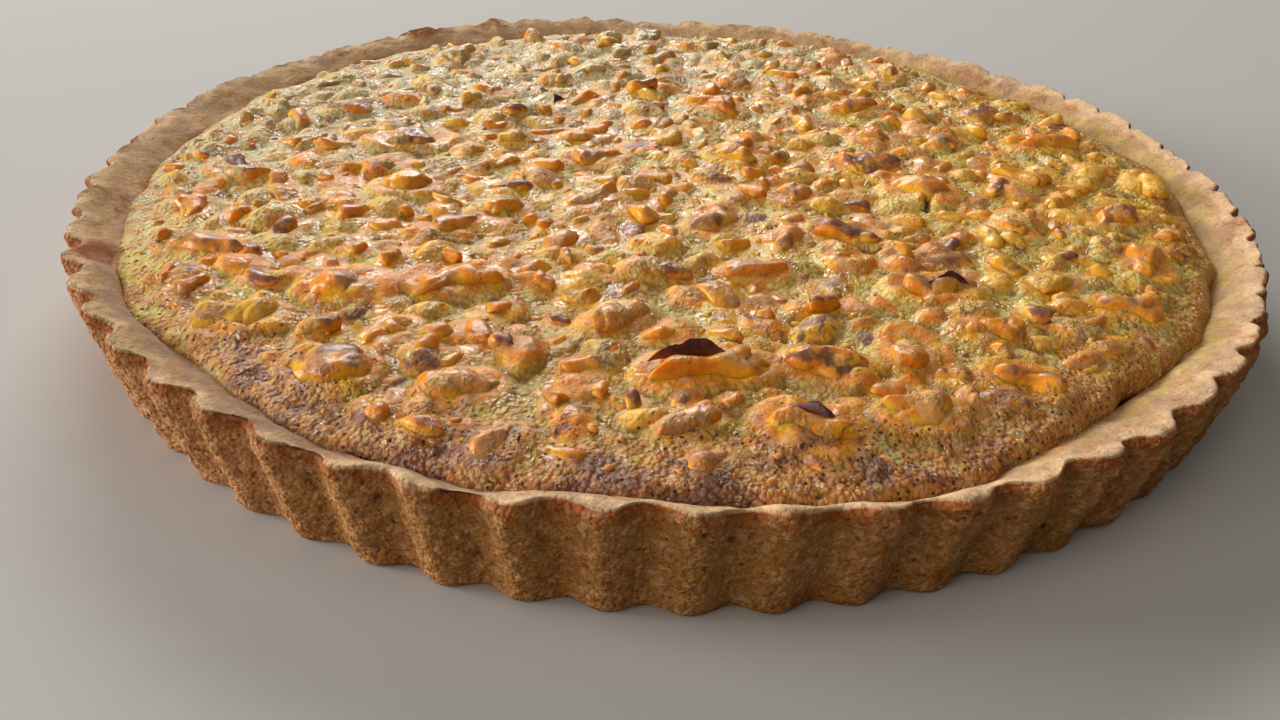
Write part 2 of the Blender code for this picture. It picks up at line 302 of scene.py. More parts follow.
# Lumps on the rim, and where it is broken: angle, half width in degrees and height
RIM_LUMPS = (
    (278.5, 2.4, 1.3), (283.5, 1.6, 0.7), (117, 1.5, 0.8), (103, 1.2, 0.9),
    (88, 1.3, 0.7), (341, 1.5, 0.8), (28, 1.6, 0.7), (150, 1.4, 0.8),
    (192, 1.5, 0.6),
)
BROKEN = (
    (278.5, 3.0, 1.0), (341, 2.0, 0.6),
)
LIP_WAVES = ((11, 0.45, 30), (17, 0.5, 140), (29, 0.4, 250), (43, 0.3, 10), (67, 0.25, 300))
# Cracks in the custard, each a path of x and y
CRACKS = (
    ((36, -41), (42, -43), (47, -42), (53, -39)),
    ((57, -20), (58, -14)),
    ((-112, 18), (-116, 4), (-115, -8)),
)
# Flakes of skin that are too small to be solid
MORE_FLAKES = (
    (-20, -113, 5, 70), (-92, 30, 6, 20), (-30, 40, 5, 60), (80, 40, 5, 30),
)


# Noise

def hashed(cells, seed):
    """A fixed random number from 0 to 1 for each whole-numbered cell: its three numbers are mixed by
    large odd factors and bit shifts."""
    x, y, z = (cells[..., axis].astype(np.int64) for axis in range(3))
    mixed = (x * 374761393 + y * 668265263 + z * 1440662683 + seed * 974634777) & 0xFFFFFFFF
    mixed = ((mixed ^ (mixed >> 13)) * 1274126177) & 0xFFFFFFFF
    mixed = ((mixed ^ (mixed >> 16)) * 668265263) & 0xFFFFFFFF
    return (mixed ^ (mixed >> 15)) / 0xFFFFFFFF


def soft_noise(points, size, seed):
    """Smooth noise from -1 to 1: random values at the corners of a cubic grid, turned off the axes and
    blended inside each cube along 3t^2 - 2t^3 in each direction."""
    points = points @ OFF_AXES / size
    cell = np.floor(points)
    inside = points - cell
    inside = inside * inside * (3 - 2 * inside)
    total = 0
    for corner in itertools.product((0, 1), repeat=3):
        weight = np.prod(np.where(np.array(corner, bool), inside, 1 - inside), axis=-1)
        total = total + weight * hashed(cell + np.array(corner), seed)
    return 2 * total - 1


def layered_noise(points, size, seed, layers=3):
    """Sum of soft noise at halving sizes and heights."""
    return sum(soft_noise(points, size / 2 ** i, seed + i) / 2 ** i for i in range(layers))


def dots(points, size, radius, share, seed):
    """1 in the middle of random dots and 0 outside: one dot at a random place in that share of the
    cells of a cubic grid, falling off as (1 - distance^2 / radius^2) squared."""
    cell = np.floor(points / size)
    most = np.zeros(points.shape[:-1])
    for step in itertools.product((-1, 0, 1), repeat=3):
        near = cell + np.array(step)
        middle = np.stack([near[..., axis] + hashed(near, seed + axis) for axis in range(3)], axis=-1) * size
        squared = ((points - middle) ** 2).sum(axis=-1) / radius ** 2
        dot = np.clip(1 - squared, 0, 1) ** 2 * (hashed(near, seed + 3) < share)
        most = np.maximum(most, dot)
    return most


def smooth_step(values, low, high):
    share = np.clip((values - low) / (high - low), 0, 1)
    return share * share * (3 - 2 * share)


def facing(angle, low, high):
    """A smooth step of the cosine of an angle in degrees."""
    return smooth_step(np.cos(np.radians(angle)), low, high)


def bell(away, width):
    """1 in the middle of a bell curve, falling off as exp(-(away / width)^2)."""
    return np.exp(-(away / width) ** 2)


def swept(radius, turn, height):
    """Points at that radius, turn in radians and height."""
    return np.stack([radius * np.cos(turn), radius * np.sin(turn), height], axis=-1)


def level_points(x, y):
    """Points of the plane z = 0, for the noises."""
    return np.stack([x, y, 0 * x], axis=-1)


# Meshes

def put_mesh(name, points, quads, triangles=(), marks=None):
    """A smooth mesh object from arrays: points in millimetres, faces as vertex numbers, and one number
    a vertex for each named mark."""
    quads = np.asarray(quads, np.int32).reshape(-1, 4)
    triangles = np.asarray(triangles, np.int32).reshape(-1, 3)
    sides = np.concatenate([np.full(len(quads), 4), np.full(len(triangles), 3)])
    mesh = bpy.data.meshes.new(name)
    mesh.vertices.add(len(points))
    mesh.vertices.foreach_set("co", (np.asarray(points) * MM).astype(np.float32).ravel())
    mesh.loops.add(int(sides.sum()))
    mesh.polygons.add(len(sides))
    mesh.polygons.foreach_set("loop_start", (np.cumsum(sides) - sides).astype(np.int32))
    mesh.polygons.foreach_set("vertices", np.concatenate([quads.ravel(), triangles.ravel()]))
    mesh.update(calc_edges=True)
    mesh.shade_smooth()
    if marks:
        # The up mark, how far each vertex faces up, turns the kernels' tops tan: partly painted sheen.
        normals = np.empty(3 * len(points), np.float32)
        mesh.vertex_normals.foreach_get("vector", normals)
        marks = {**marks, "up": normals[2::3]}
    for key, values in (marks or {}).items():
        mark = mesh.attributes.new(key, "FLOAT", "POINT")
        mark.data.foreach_set("value", np.asarray(values, np.float32).ravel())
    piece = bpy.data.objects.new(name, mesh)
    bpy.context.scene.collection.objects.link(piece)
    return piece


def ring_quads(rows, columns, first=0):
    """Faces of a grid whose columns close round: rows run outwards or down, columns anticlockwise."""
    here = np.arange(rows * columns).reshape(rows, columns) + first
    beside = np.roll(here, -1, axis=1)
    return np.stack([here[:-1], here[1:], beside[1:], beside[:-1]], axis=-1).reshape(-1, 4)


def fan(ring, middle):
    """Triangles from a closed ring of vertices to one vertex."""
    ring = np.asarray(ring)
    return np.stack([ring, np.roll(ring, -1), np.full(len(ring), middle)], axis=-1)


def grid_normals(points):
    """Unit normals of a grid of points whose columns close round: the cross product of the steps down
    the rows and along the columns."""
    down = np.gradient(points, axis=0)
    along = np.roll(points, -1, axis=1) - np.roll(points, 1, axis=1)
    normal = np.cross(down, along)
    return normal / np.maximum(np.linalg.norm(normal, axis=-1, keepdims=True), 1e-9)


def capped_tubes(count, rows, columns):
    """Faces of that many closed tubes, each with a tip, then its rings of vertices, then its other tip."""
    each = rows * columns + 2
    ring = np.arange(columns) + 1
    tips = np.concatenate([fan(ring[::-1], 0), fan(ring + (rows - 1) * columns, each - 1)])[:, ::-1]
    first = np.arange(count)[:, None, None] * each
    return (ring_quads(rows, columns, 1) + first).reshape(-1, 4), (tips + first).reshape(-1, 3)


def finish_piece(piece, material, slot, *nodes):
    """Gives a piece its material, hangs it on the root body, and hides the nodes of the solids that it stands
    for.
    """
    piece.data.materials.append(material)
    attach(piece, "root")
    if nodes:
        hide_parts(*nodes)


# Materials

class Finish:
    """The nodes of one material. Each method returns the socket that carries its result."""

    def __init__(self, name):
        self.material = bpy.data.materials.new(name)
        self.material.use_nodes = True
        self.tree = self.material.node_tree
        self.shader = self.tree.nodes["Principled BSDF"]
        self.place = self.node("ShaderNodeTexCoord").outputs["Object"]

    def node(self, kind, inputs=(), **settings):
        made = self.tree.nodes.new(kind)
        for key, value in settings.items():
            setattr(made, key, value)
        self.put(made, dict(inputs))
        return made

    def put(self, node, inputs):
        """Links each input that is given as a socket, and sets the others."""
        for key, value in inputs.items():
            if isinstance(value, bpy.types.NodeSocket):
                self.tree.links.new(value, node.inputs[key])
            else:
                node.inputs[key].default_value = value

    def pattern(self, kind, size, inputs=(), **settings):
        """A texture node on the piece's own coordinates, with features of that size in millimetres."""
        return self.node(kind, {"Vector": self.place, "Scale": 1 / (size * MM), **dict(inputs)}, **settings)

    def mark(self, name):
        return self.node("ShaderNodeAttribute", attribute_name=name).outputs["Fac"]

    def noise(self, size, detail=2.0):
        return self.pattern("ShaderNodeTexNoise", size, {"Detail": detail}).outputs["Fac"]

    def tints(self, size):
        """Three smooth noises that vary apart from each other."""
        made = self.pattern("ShaderNodeTexNoise", size, {"Detail": 1.0})
        return self.node("ShaderNodeSeparateColor", {"Color": made.outputs["Color"]}).outputs

    def cells(self, size):
        """Distance from the middle of the nearest of many scattered cells, in their sizes."""
        return self.pattern("ShaderNodeTexVoronoi", size).outputs["Distance"]

    def grains(self, size):
        """One random shade for each cell."""
        return self.pattern("ShaderNodeTexVoronoi", size).outputs["Color"]

    def domes(self, size):
        """1 in the middle of each cell, less the square of the distance from it."""
        away = self.cells(size)
        return self.calculate("SUBTRACT", 1.0, self.times(away, away))

    def calculate(self, operation, a, b):
        return self.node("ShaderNodeMath", {0: a, 1: b}, operation=operation).outputs[0]

    def times(self, *values):
        return functools.reduce(lambda a, b: self.calculate("MULTIPLY", a, b), values)

    def sum(self, *values):
        return functools.reduce(lambda a, b: self.calculate("ADD", a, b), values)

    def ease(self, value, low, high, to_low=0.0, to_high=1.0):
        """The value brought from one range to another along a smooth step."""
        inputs = {"Value": value, "From Min": low, "From Max": high, "To Min": to_low, "To Max": to_high}
        return self.node("ShaderNodeMapRange", inputs, interpolation_type="SMOOTHSTEP").outputs["Result"]

    def swing(self, noise, reach):
        """A noise brought to swing from minus to plus that reach."""
        return self.ease(noise, 0.25, 0.75, -reach, reach)

    def mix(self, share, a, b, blend="MIX"):
        """Two colours mixed, each a socket or a plain colour."""
        a, b = (c if isinstance(c, bpy.types.NodeSocket) else (*c, 1.0) for c in (a, b))
        inputs = {0: share, 6: a, 7: b}
        return self.node("ShaderNodeMix", inputs, data_type="RGBA", blend_type=blend).outputs[2]

    def over(self, under, colour, value, low, high, most=1.0):
        """A colour laid over another: not at all where the value is low, and the most where it's high."""
        return self.mix(self.ease(value, low, high, 0.0, most), under, colour)

    def shaded(self, colour, value):
        """A colour times a value."""
        return self.mix(1.0, colour, value, "MULTIPLY")

    def relief(self, *layers):
        """One bump from the sum of layers, each (height from 0 to 1, depth in millimetres)."""
        height = self.sum(*(self.times(height, depth) for height, depth in layers))
        inputs = {"Height": height, "Distance": MM, "Strength": 1.0}
        return self.node("ShaderNodeBump", inputs).outputs["Normal"]

    def done(self, **inputs):
        """Puts the shader's inputs, named with _ for the spaces."""
        self.put(self.shader, {key.replace("_", " "): value for key, value in inputs.items()})
        return self.material


def pastry_finish(settings):
    """Sandy shortcrust: tan, floury where pale, yellow near the custard, orange where toasted. The wall's
    right side is darker and yellower, and the shelf darker along the custard's edge, both painted shade; the
    rim's crest is paler, partly painted highlight. On the wall every grain has its own shade and stands out,
    and small pits lie between them, coloured dark as painted shade."""
    f = Finish("baked pastry")
    broad, middle, fine, sand = f.noise(14.0), f.noise(3.6, 3.0), f.noise(1.1, 3.0), f.noise(0.4, 2.0)
    wall = f.mark("wall")
    patchy = f.sum(f.swing(broad, 0.25), f.swing(middle, 0.3))
    colour = f.over(settings.crumb, settings.flour, f.sum(f.mark("pale"), patchy), 0.2, 0.9)
    colour = f.over(colour, settings.butter, f.sum(f.mark("yolk"), patchy), 0.3, 1.0, 0.85)
    # The right side of the wall, away from the lights, is darker and yellower: painted shade.
    colour = f.over(colour, settings.right_wall_shade, f.sum(f.mark("right_wall_shade"), patchy), 0.1, 1.2, 0.9)

    floury, baked, _ = f.tints(6.0)
    shelf = f.ease(wall, 0.0, 0.6, 1.0, 0.0)
    bloom_and_highlight = f.times(f.ease(f.sum(floury, f.swing(fine, 0.06)), 0.48, 0.66), shelf)
    # The rim's crest is made paler as well: painted highlight.
    bloom_and_highlight = f.sum(f.times(bloom_and_highlight, 0.5), f.ease(f.mark("crown"), 0.1, 0.8, 0.0, 0.7))
    colour = f.mix(bloom_and_highlight, colour, settings.bloom_and_highlight)
    blush = f.times(f.ease(f.sum(baked, f.swing(fine, 0.06)), 0.48, 0.66), shelf)
    colour = f.mix(f.times(blush, 0.5), colour, settings.stain)
    # The toasted mark also darkens the shelf along the custard's edge: painted shade where the two meet.
    toast_and_gap_shade = f.sum(f.mark("toast_and_gap_shade"), f.swing(middle, 0.3), f.ease(fine, 0.3, 0.7, -0.1, 0.1))
    colour = f.over(colour, settings.toasted, toast_and_gap_shade, 0.25, 0.95)

    grain = f.sum(f.noise(1.9, 3.0), f.ease(f.grains(0.7), 0.15, 0.85, -0.1, 0.1))
    dark = f.times(f.ease(grain, 0.52, 0.74), f.ease(wall, 0.0, 1.0, 0.2, 0.6))
    colour = f.mix(dark, colour, settings.toasted)
    light = f.times(f.ease(grain, 0.48, 0.3), f.ease(wall, 0.0, 1.0, 0.15, 0.45))
    colour = f.mix(light, colour, settings.sandy)
    stain = f.sum(f.mark("stain"), f.swing(middle, 0.3))
    colour = f.over(colour, settings.stain, stain, 0.2, 0.8, 0.85)
    shade = f.sum(f.ease(f.grains(0.55), 0.15, 0.85, -0.13, 0.13), f.swing(sand, 0.12),
                  f.swing(fine, 0.1), 1.0)
    colour = f.shaded(colour, f.mix(f.ease(wall, 0.0, 1.0, 0.6, 1.0), (1.0, 1.0, 1.0), shade))

    # Small pits pressed in by the bump, and the mesh's own pits, are coloured dark: painted shade in the
    # pits.
    speck = f.ease(f.sum(f.cells(1.4), f.swing(fine, 0.12)), 0.08, 0.26, 1.0, 0.0)
    speck = f.times(speck, f.ease(f.noise(4.0), 0.45, 0.62), f.ease(wall, 0.0, 1.0, 0.15, 0.7))
    colour = f.mix(speck, colour, settings.pit_shade)
    colour = f.over(colour, settings.pit_shade, f.mark("hole_shade"), 0.15, 0.8, 0.7)
    coarse = f.ease(f.sum(wall, f.ease(f.mark("rim"), 0.0, 1.0, 0.0, 0.7)), 0.0, 1.0, 0.22, 1.0)
    normal = f.relief(
        (f.times(f.noise(1.5, 1.0), coarse), 0.7),
        (f.times(f.domes(0.8), coarse), 0.4),
        (f.times(speck, -1.0), 0.6),
        (fine, 0.14),
        (sand, 0.12),
    )
    return f.done(Base_Color=colour, Normal=normal, Roughness=0.8, Specular_IOR_Level=0.15,
                  Subsurface_Weight=0.06, Subsurface_Radius=(1.0, 0.45, 0.2), Subsurface_Scale=0.0008)


def kernel_colour(f, settings, rise, tone, roast):
    """Colour of a nut: golden or orange on its sides, baked brown where it faces up, that top colour partly
    toasting and partly painted sheen of the lights. A low tone keeps it yellow, and a high roast darkens it."""
    patch, fine = f.noise(3.4, 3.0), f.noise(1.1, 3.0)
    uneven = f.sum(f.swing(patch, 0.3), f.swing(fine, 0.12))
    height = f.sum(rise, uneven, f.ease(f.noise(6.0, 1.0), 0.3, 0.7, -0.35, 0.35))
    yellow = f.over(settings.golden, settings.yellow, height, 0.2, 0.8)
    warm = f.over(settings.golden, settings.orange, height, 0.1, 0.7)
    colour = f.over(yellow, warm, tone, 0.24, 0.4)
    # Where the kernel faces up it turns tan: partly toasting, partly painted sheen of the lights.
    top = f.sum(f.mark("up"), f.ease(rise, 0.0, 0.8, -0.45, 0.05), f.times(uneven, 1.3),
                f.ease(tone, 0.25, 1.0, -0.4, 0.06))
    colour = f.over(colour, settings.tan, top, 0.66, 1.08, 0.75)
    browned = f.sum(roast, uneven, f.ease(top, 0.2, 1.0, -0.4, 0.14))
    colour = f.over(colour, settings.roasted, browned, 0.5, 1.1, 0.9)
    return f.shaded(colour, f.ease(fine, 0.25, 0.75, 0.85, 1.13))


def custard_finish(settings, nuts):
    """Set custard: straw and creamy curds in changing tints, darker between them as painted shade, a film
    with the nuts' colours over them, amber of the baked juices in the hollows and darker there as painted
    shade, paler and cooler at the back and the left as painted sheen, brown porous foam along the front with
    a few burst bubbles, near black inside holes and cracks as painted shade, and wet spots that glint."""
    f = Finish("set custard")
    broad, middle, fine, tiny = f.noise(18.0), f.noise(4.0, 3.0), f.noise(1.4, 3.0), f.noise(0.5, 2.0)
    curd, small_curd = f.domes(1.8), f.domes(0.9)
    first, second, third = f.tints(2.4)
    pale, rise, low, porous = f.mark("pale"), f.mark("rise"), f.mark("low"), f.mark("porous")

    patchy = f.sum(f.swing(middle, 0.3), f.swing(broad, 0.2))
    # Paler and cooler at the back and the left, where the pale mark is high: painted sheen, over the
    # custard's own patches.
    colour = f.over(settings.straw, settings.cream_and_sheen, f.sum(pale, patchy), 0.0, 0.8)
    colour = f.over(colour, settings.juice_and_shade, f.sum(f.mark("amber"), patchy), 0.35, 1.1, 0.7)
    colour = f.over(colour, settings.yolk, first, 0.48, 0.7, 0.75)
    colour = f.over(colour, settings.mauve, second, 0.5, 0.72, 0.34)
    colour = f.over(colour, settings.foam, third, 0.5, 0.7, 0.6)
    # Darker between the curds and in the hollows, where the low mark is high: painted shade, laid with the
    # amber colour.
    gaps = f.sum(low, f.ease(curd, 0.75, 0.5, 0.0, 0.5), f.swing(middle, 0.3))
    colour = f.over(colour, settings.juice_and_shade, gaps, 0.4, 1.1, 0.8)
    speckled = f.times(f.ease(f.noise(3.5), 0.44, 0.6),
                       f.ease(f.sum(f.cells(1.7), f.swing(fine, 0.06)), 0.14, 0.4, 1.0, 0.0))
    granule = f.times(speckled, f.ease(pale, 0.3, 1.0, 1.0, 0.5))
    colour = f.mix(f.times(granule, 0.75), colour, nuts.golden)

    nut = kernel_colour(f, nuts, rise, f.mark("tone"), f.mark("roast"))
    film = f.sum(f.mark("film"), f.swing(middle, 0.45), f.swing(fine, 0.2))
    # The pale mark also hides the nuts under more film at the back and the left: painted sheen.
    bare = f.ease(f.sum(film, f.ease(pale, 0.3, 1.0, 0.0, 0.5)), 0.5, 0.95, 1.0, 0.12)
    seen = f.times(f.ease(f.sum(rise, f.swing(fine, 0.15)), 0.1, 0.5), bare)
    colour = f.mix(seen, colour, nut)
    ring = f.sum(f.mark("ring"), f.swing(middle, 0.4), f.swing(fine, 0.2))
    colour = f.over(colour, settings.crisp, ring, 0.35, 0.95, 0.85)

    browned = f.sum(f.mark("browned"), f.ease(f.noise(9.0, 1.0), 0.3, 0.7, -0.3, 0.3),
                    f.ease(middle, 0.25, 0.75, -0.3, 0.25), f.ease(fine, 0.2, 0.8, -0.25, 0.25))
    foam = f.over(settings.browned, settings.foam, third, 0.45, 0.7, 0.35)
    darkest = f.sum(browned, f.ease(tiny, 0.3, 0.7, -0.15, 0.15))
    foam = f.over(foam, settings.dark, darkest, 0.6, 1.2, 0.9)
    foam = f.mix(f.times(speckled, f.ease(browned, 0.5, 1.1, 0.95, 0.3)), foam, settings.yolk)
    colour = f.over(colour, foam, browned, 0.2, 0.7, 0.92)

    pores = f.ease(f.sum(f.noise(3.0), porous), 0.6, 0.8)
    hole = f.times(f.ease(f.cells(1.3), 0.13, 0.3, 1.0, 0.0), pores)
    bubble = f.sum(f.cells(3.1), f.swing(fine, 0.02))
    burst = f.ease(f.sum(f.noise(6.0, 1.0), f.times(porous, 0.3)), 0.63, 0.75)
    crater = f.times(f.ease(bubble, 0.08, 0.15, 1.0, 0.0), burst)
    crater_rim = f.times(f.ease(bubble, 0.12, 0.18), f.ease(bubble, 0.19, 0.3, 1.0, 0.0), burst)
    hole = f.calculate("MAXIMUM", hole, crater)
    colour = f.mix(f.times(crater_rim, 0.35), colour, settings.browned)
    # Near black inside holes, burst bubbles, pits and cracks: painted shade.
    colour = f.mix(f.times(hole, 0.9), colour, settings.hole_shade)
    colour = f.over(colour, settings.hole_shade, f.mark("crack"), 0.2, 0.9)
    # Darker between the small curds and lighter on their tops: painted shade.
    colour = f.shaded(colour, f.sum(f.swing(tiny, 0.12), f.ease(small_curd, 0.5, 0.9, 0.9, 1.08)))

    plain = f.times(f.ease(seen, 0.0, 1.0, 1.0, 0.25), f.mark("grainy"))
    normal = f.relief(
        (f.times(curd, plain), 0.5),
        (f.noise(2.6, 1.0), 0.25),
        (f.times(small_curd, plain), 0.55),
        (f.times(granule, plain), 0.9),
        (crater_rim, 0.4),
        (fine, 0.16),
        (tiny, 0.12),
        (f.times(hole, -1.0), 0.5),
    )
    wet = f.sum(f.noise(4.5, 1.0), f.ease(low, 0.0, 1.0, -0.05, 0.15), f.ease(tiny, 0.3, 0.7, -0.1, 0.1))
    rough = f.sum(f.ease(fine, 0.3, 0.7, 0.5, 0.65), f.times(f.ease(wet, 0.46, 0.6), -0.42),
                  f.ease(pale, 0.2, 1.0, 0.0, 0.08))
    return f.done(Base_Color=colour, Normal=normal, Roughness=rough, Specular_IOR_Level=0.42,
                  Coat_Weight=0.04, Coat_Roughness=0.08,
                  Subsurface_Weight=0.6, Subsurface_Radius=(1.0, 0.52, 0.18), Subsurface_Scale=0.0035)


def walnut_finish(settings):
    """Walnut kernel with patches of custard film, most of them at its foot, and darker creases; at the back
    and the left the film is more and paler, as painted sheen.
    """
    f = Finish(WALNUT)
    middle, fine, tiny = f.noise(4.2, 3.0), f.noise(1.0, 3.0), f.noise(0.4, 2.0)
    rise, foam, away = f.mark("rise"), f.mark("foam"), f.mark("away")
    colour = kernel_colour(f, settings, rise, f.mark("tone"), f.mark("roast"))
    colour = f.over(colour, settings.roasted, f.mark("crease"), 0.2, 1.0, 0.55)
    # The away mark, high at the back and the left, adds film there and pales it: painted sheen.
    film = f.sum(middle, f.swing(fine, 0.12), f.ease(rise, -0.2, 0.3, 0.2, -0.05),
                 f.ease(f.mark("film"), 0.0, 1.0, -0.12, 0.12), f.ease(foam, 0.0, 0.6, 0.0, 0.14),
                 f.ease(away, 0.2, 1.0, 0.0, 0.15))
    film = f.ease(film, 0.52, 0.7, 0.0, 0.85)
    covered = f.over(settings.film, settings.sheen_film, away, 0.3, 1.0)
    covered = f.over(covered, settings.foam, foam, 0.1, 0.6)
    colour = f.mix(film, colour, covered)
    normal = f.relief(
        (f.noise(2.4, 2.0), 0.4),
        (fine, 0.14),
        (f.times(f.domes(1.3), film), 0.3),
        (tiny, 0.04),
    )
    rough = f.ease(middle, 0.3, 0.7, 0.26, 0.46)
    return f.done(Base_Color=colour, Normal=normal, Roughness=rough, Specular_IOR_Level=0.25,
                  Coat_Weight=0.12, Coat_Roughness=0.06,
                  Subsurface_Weight=0.45, Subsurface_Radius=(1.0, 0.42, 0.13), Subsurface_Scale=0.003)


def walnut_material(settings):
    """The material that all the walnut pieces share."""
    return bpy.data.materials.get(WALNUT) or walnut_finish(settings)


def skin_finish(settings):
    """Papery walnut skin, dark plum brown and redder along its foot."""
    f = Finish("walnut skin")
    colour = f.over(settings.skin, settings.skin_light, f.noise(1.5, 3.0), 0.3, 0.7, 0.5)
    colour = f.mix(f.ease(f.mark("rise"), 0.1, 0.5, 0.7, 0.0), colour, settings.skin_light)
    normal = f.relief((f.noise(1.6, 3.0), 0.3), (f.noise(0.4), 0.06))
    return f.done(Base_Color=colour, Normal=normal, Roughness=0.4, Specular_IOR_Level=0.5,
                  Subsurface_Weight=0.1, Subsurface_Radius=(1.0, 0.2, 0.1), Subsurface_Scale=0.001)


# Settings

def colour_of(name, description, value):
    return FloatVectorProperty(name=name, description=description, subtype="COLOR", size=3,
                               min=0.0, max=1.0, default=value)


def watts_of(name, description, value):
    return FloatProperty(name=name, description=description, unit="POWER", min=0.0, default=value)


class CrustSettings(bpy.types.PropertyGroup):
    crumb_depth: FloatProperty(name="Crumb depth", description="Height of the sandy grains, in millimetres",
                               default=0.26, min=0.0, max=1.0)
    dough_waves: FloatProperty(name="Dough waves", description="Unevenness of the shelf, in millimetres",
                               default=0.75, min=0.0, max=2.0)
    crumb: colour_of("Crumb", "Tan of the wall", (0.49, 0.225, 0.09))
    flour: colour_of("Flour", "Pale shelf inside the rim", (0.57, 0.35, 0.17))
    butter: colour_of("Butter", "Yellow slope beside the custard", (0.55, 0.37, 0.11))
    # Floury patches of the shelf, and also the rim's crest made paler as a painted highlight.
    bloom_and_highlight: colour_of("Bloom", "Palest patches of the shelf", (0.74, 0.49, 0.27))
    # Painted shade: the wall made darker and yellower on its right, away from the lights.
    right_wall_shade: colour_of("Ochre", "Wall where it turns to the right", (0.30, 0.130, 0.022))
    sandy: colour_of("Sandy", "Lightest grains of the wall", (0.58, 0.33, 0.165))
    toasted: colour_of("Toasted", "Orange brown along the rim", (0.30, 0.085, 0.015))
    stain: colour_of("Stain", "Brown smear of foam beside the custard", (0.40, 0.24, 0.16))
    # Painted shade: the dark laid in the pits and specks.
    pit_shade: colour_of("Pits", "Dark of the pits and speckles", (0.10, 0.035, 0.012))


class CustardSettings(bpy.types.PropertyGroup):
    grain: FloatProperty(name="Grain", description="Height of the curdled grain, in millimetres",
                         default=0.20, min=0.0, max=1.0)
    mounds: IntProperty(name="Mounds", description="Nuts under a skin of custard",
                        default=620, min=0, max=2000)
    # Laid on the back and the left as painted sheen, as well as in the custard's own pale patches.
    cream_and_sheen: colour_of("Cream", "Palest custard", (0.57, 0.51, 0.28))
    straw: colour_of("Straw", "Yellow custard", (0.70, 0.53, 0.10))
    yolk: colour_of("Yolk", "Golden patches of the custard", (0.70, 0.43, 0.04))
    mauve: colour_of("Mauve", "Baked tan patches of the custard", (0.46, 0.25, 0.15))
    foam: colour_of("Foam", "Pale bubbly patches", (0.72, 0.60, 0.30))
    # Amber of the baked juices, also laid darker between the curds and in the hollows as painted shade.
    juice_and_shade: colour_of("Juice", "Amber in the hollows", (0.39, 0.175, 0.022))
    browned: colour_of("Browned", "Browned foam at the edge", (0.68, 0.275, 0.06))
    crisp: colour_of("Crisp", "Toasted edge of the custard", (0.46, 0.165, 0.02))
    dark: colour_of("Dark foam", "Darkest foam at the front", (0.235, 0.10, 0.072))
    # Painted shade: the near black laid inside holes, burst bubbles, pits and cracks.
    hole_shade: colour_of("Hollows", "Inside of holes and cracks", (0.06, 0.022, 0.01))


class WalnutSettings(bpy.types.PropertyGroup):
    bits: IntProperty(name="Bits", description="Pieces a few millimetres long", default=240, min=0, max=700)
    crumbs: IntProperty(name="Crumbs", description="Grains of chopped walnut", default=900, min=0, max=3000)
    golden: colour_of("Golden", "Foot of a kernel", (0.81, 0.385, 0.02))
    yellow: colour_of("Yellow", "Palest kernels", (0.78, 0.43, 0.05))
    orange: colour_of("Orange", "Side of a kernel", (0.78, 0.26, 0.016))
    # Also laid where a kernel faces up, so partly painted sheen of the lights as well as toasting.
    tan: colour_of("Tan", "Baked top of a kernel", (0.53, 0.295, 0.125))
    roasted: colour_of("Roasted", "Darkest kernels", (0.19, 0.07, 0.04))
    film: colour_of("Film", "Custard on the kernels", (0.58, 0.35, 0.09))
    # Painted sheen: the paler film laid on the kernels at the back and the left.
    sheen_film: colour_of("Pale film", "Custard on the kernels at the back", (0.48, 0.41, 0.22))
    foam: colour_of("Foam", "Browned foam on the kernels", (0.48, 0.22, 0.09))
    skin: colour_of("Skin", "Dark walnut skin", (0.035, 0.008, 0.009))
    skin_light: colour_of("Light skin", "Thin foot of the skin", (0.20, 0.045, 0.015))


class StageSettings(bpy.types.PropertyGroup):
    distance: FloatProperty(name="Distance", description="Camera to the tart's axis", default=0.2543,
                            unit="LENGTH")
    height: FloatProperty(name="Height", description="Camera above the table", default=0.1248, unit="LENGTH")
    pitch: FloatProperty(name="Pitch", description="Camera's tilt down", default=math.radians(31.36),
                         unit="ROTATION")
    yaw: FloatProperty(name="Yaw", description="Camera's turn to the right", default=math.radians(-1.14),
                       unit="ROTATION")
    roll: FloatProperty(name="Roll", description="Camera's lean", default=math.radians(2.07), unit="ROTATION")
    lens: FloatProperty(name="Lens", description="Focal length on a 36 mm sensor, in millimetres",
                        default=32.34)
    key: watts_of("Side window", "Strength of the light from the left", 38.0)
    back: watts_of("Back window", "Strength of the light from behind", 33.0)
    overhead: watts_of("Overhead light", "Strength of the light above", 2.3)
    fill: watts_of("Fill light", "Strength of the fill", 14.5)
    floor: colour_of("Floor", "Plain pale floor", (0.52, 0.50, 0.47))


# Crust

def custard_edge(angle):
    """The custard's edge as it shows: its solid's, moved in or out by bell curves."""
    return edge_radius(angle) + bumps(angle, EDGE_SHIFTS)


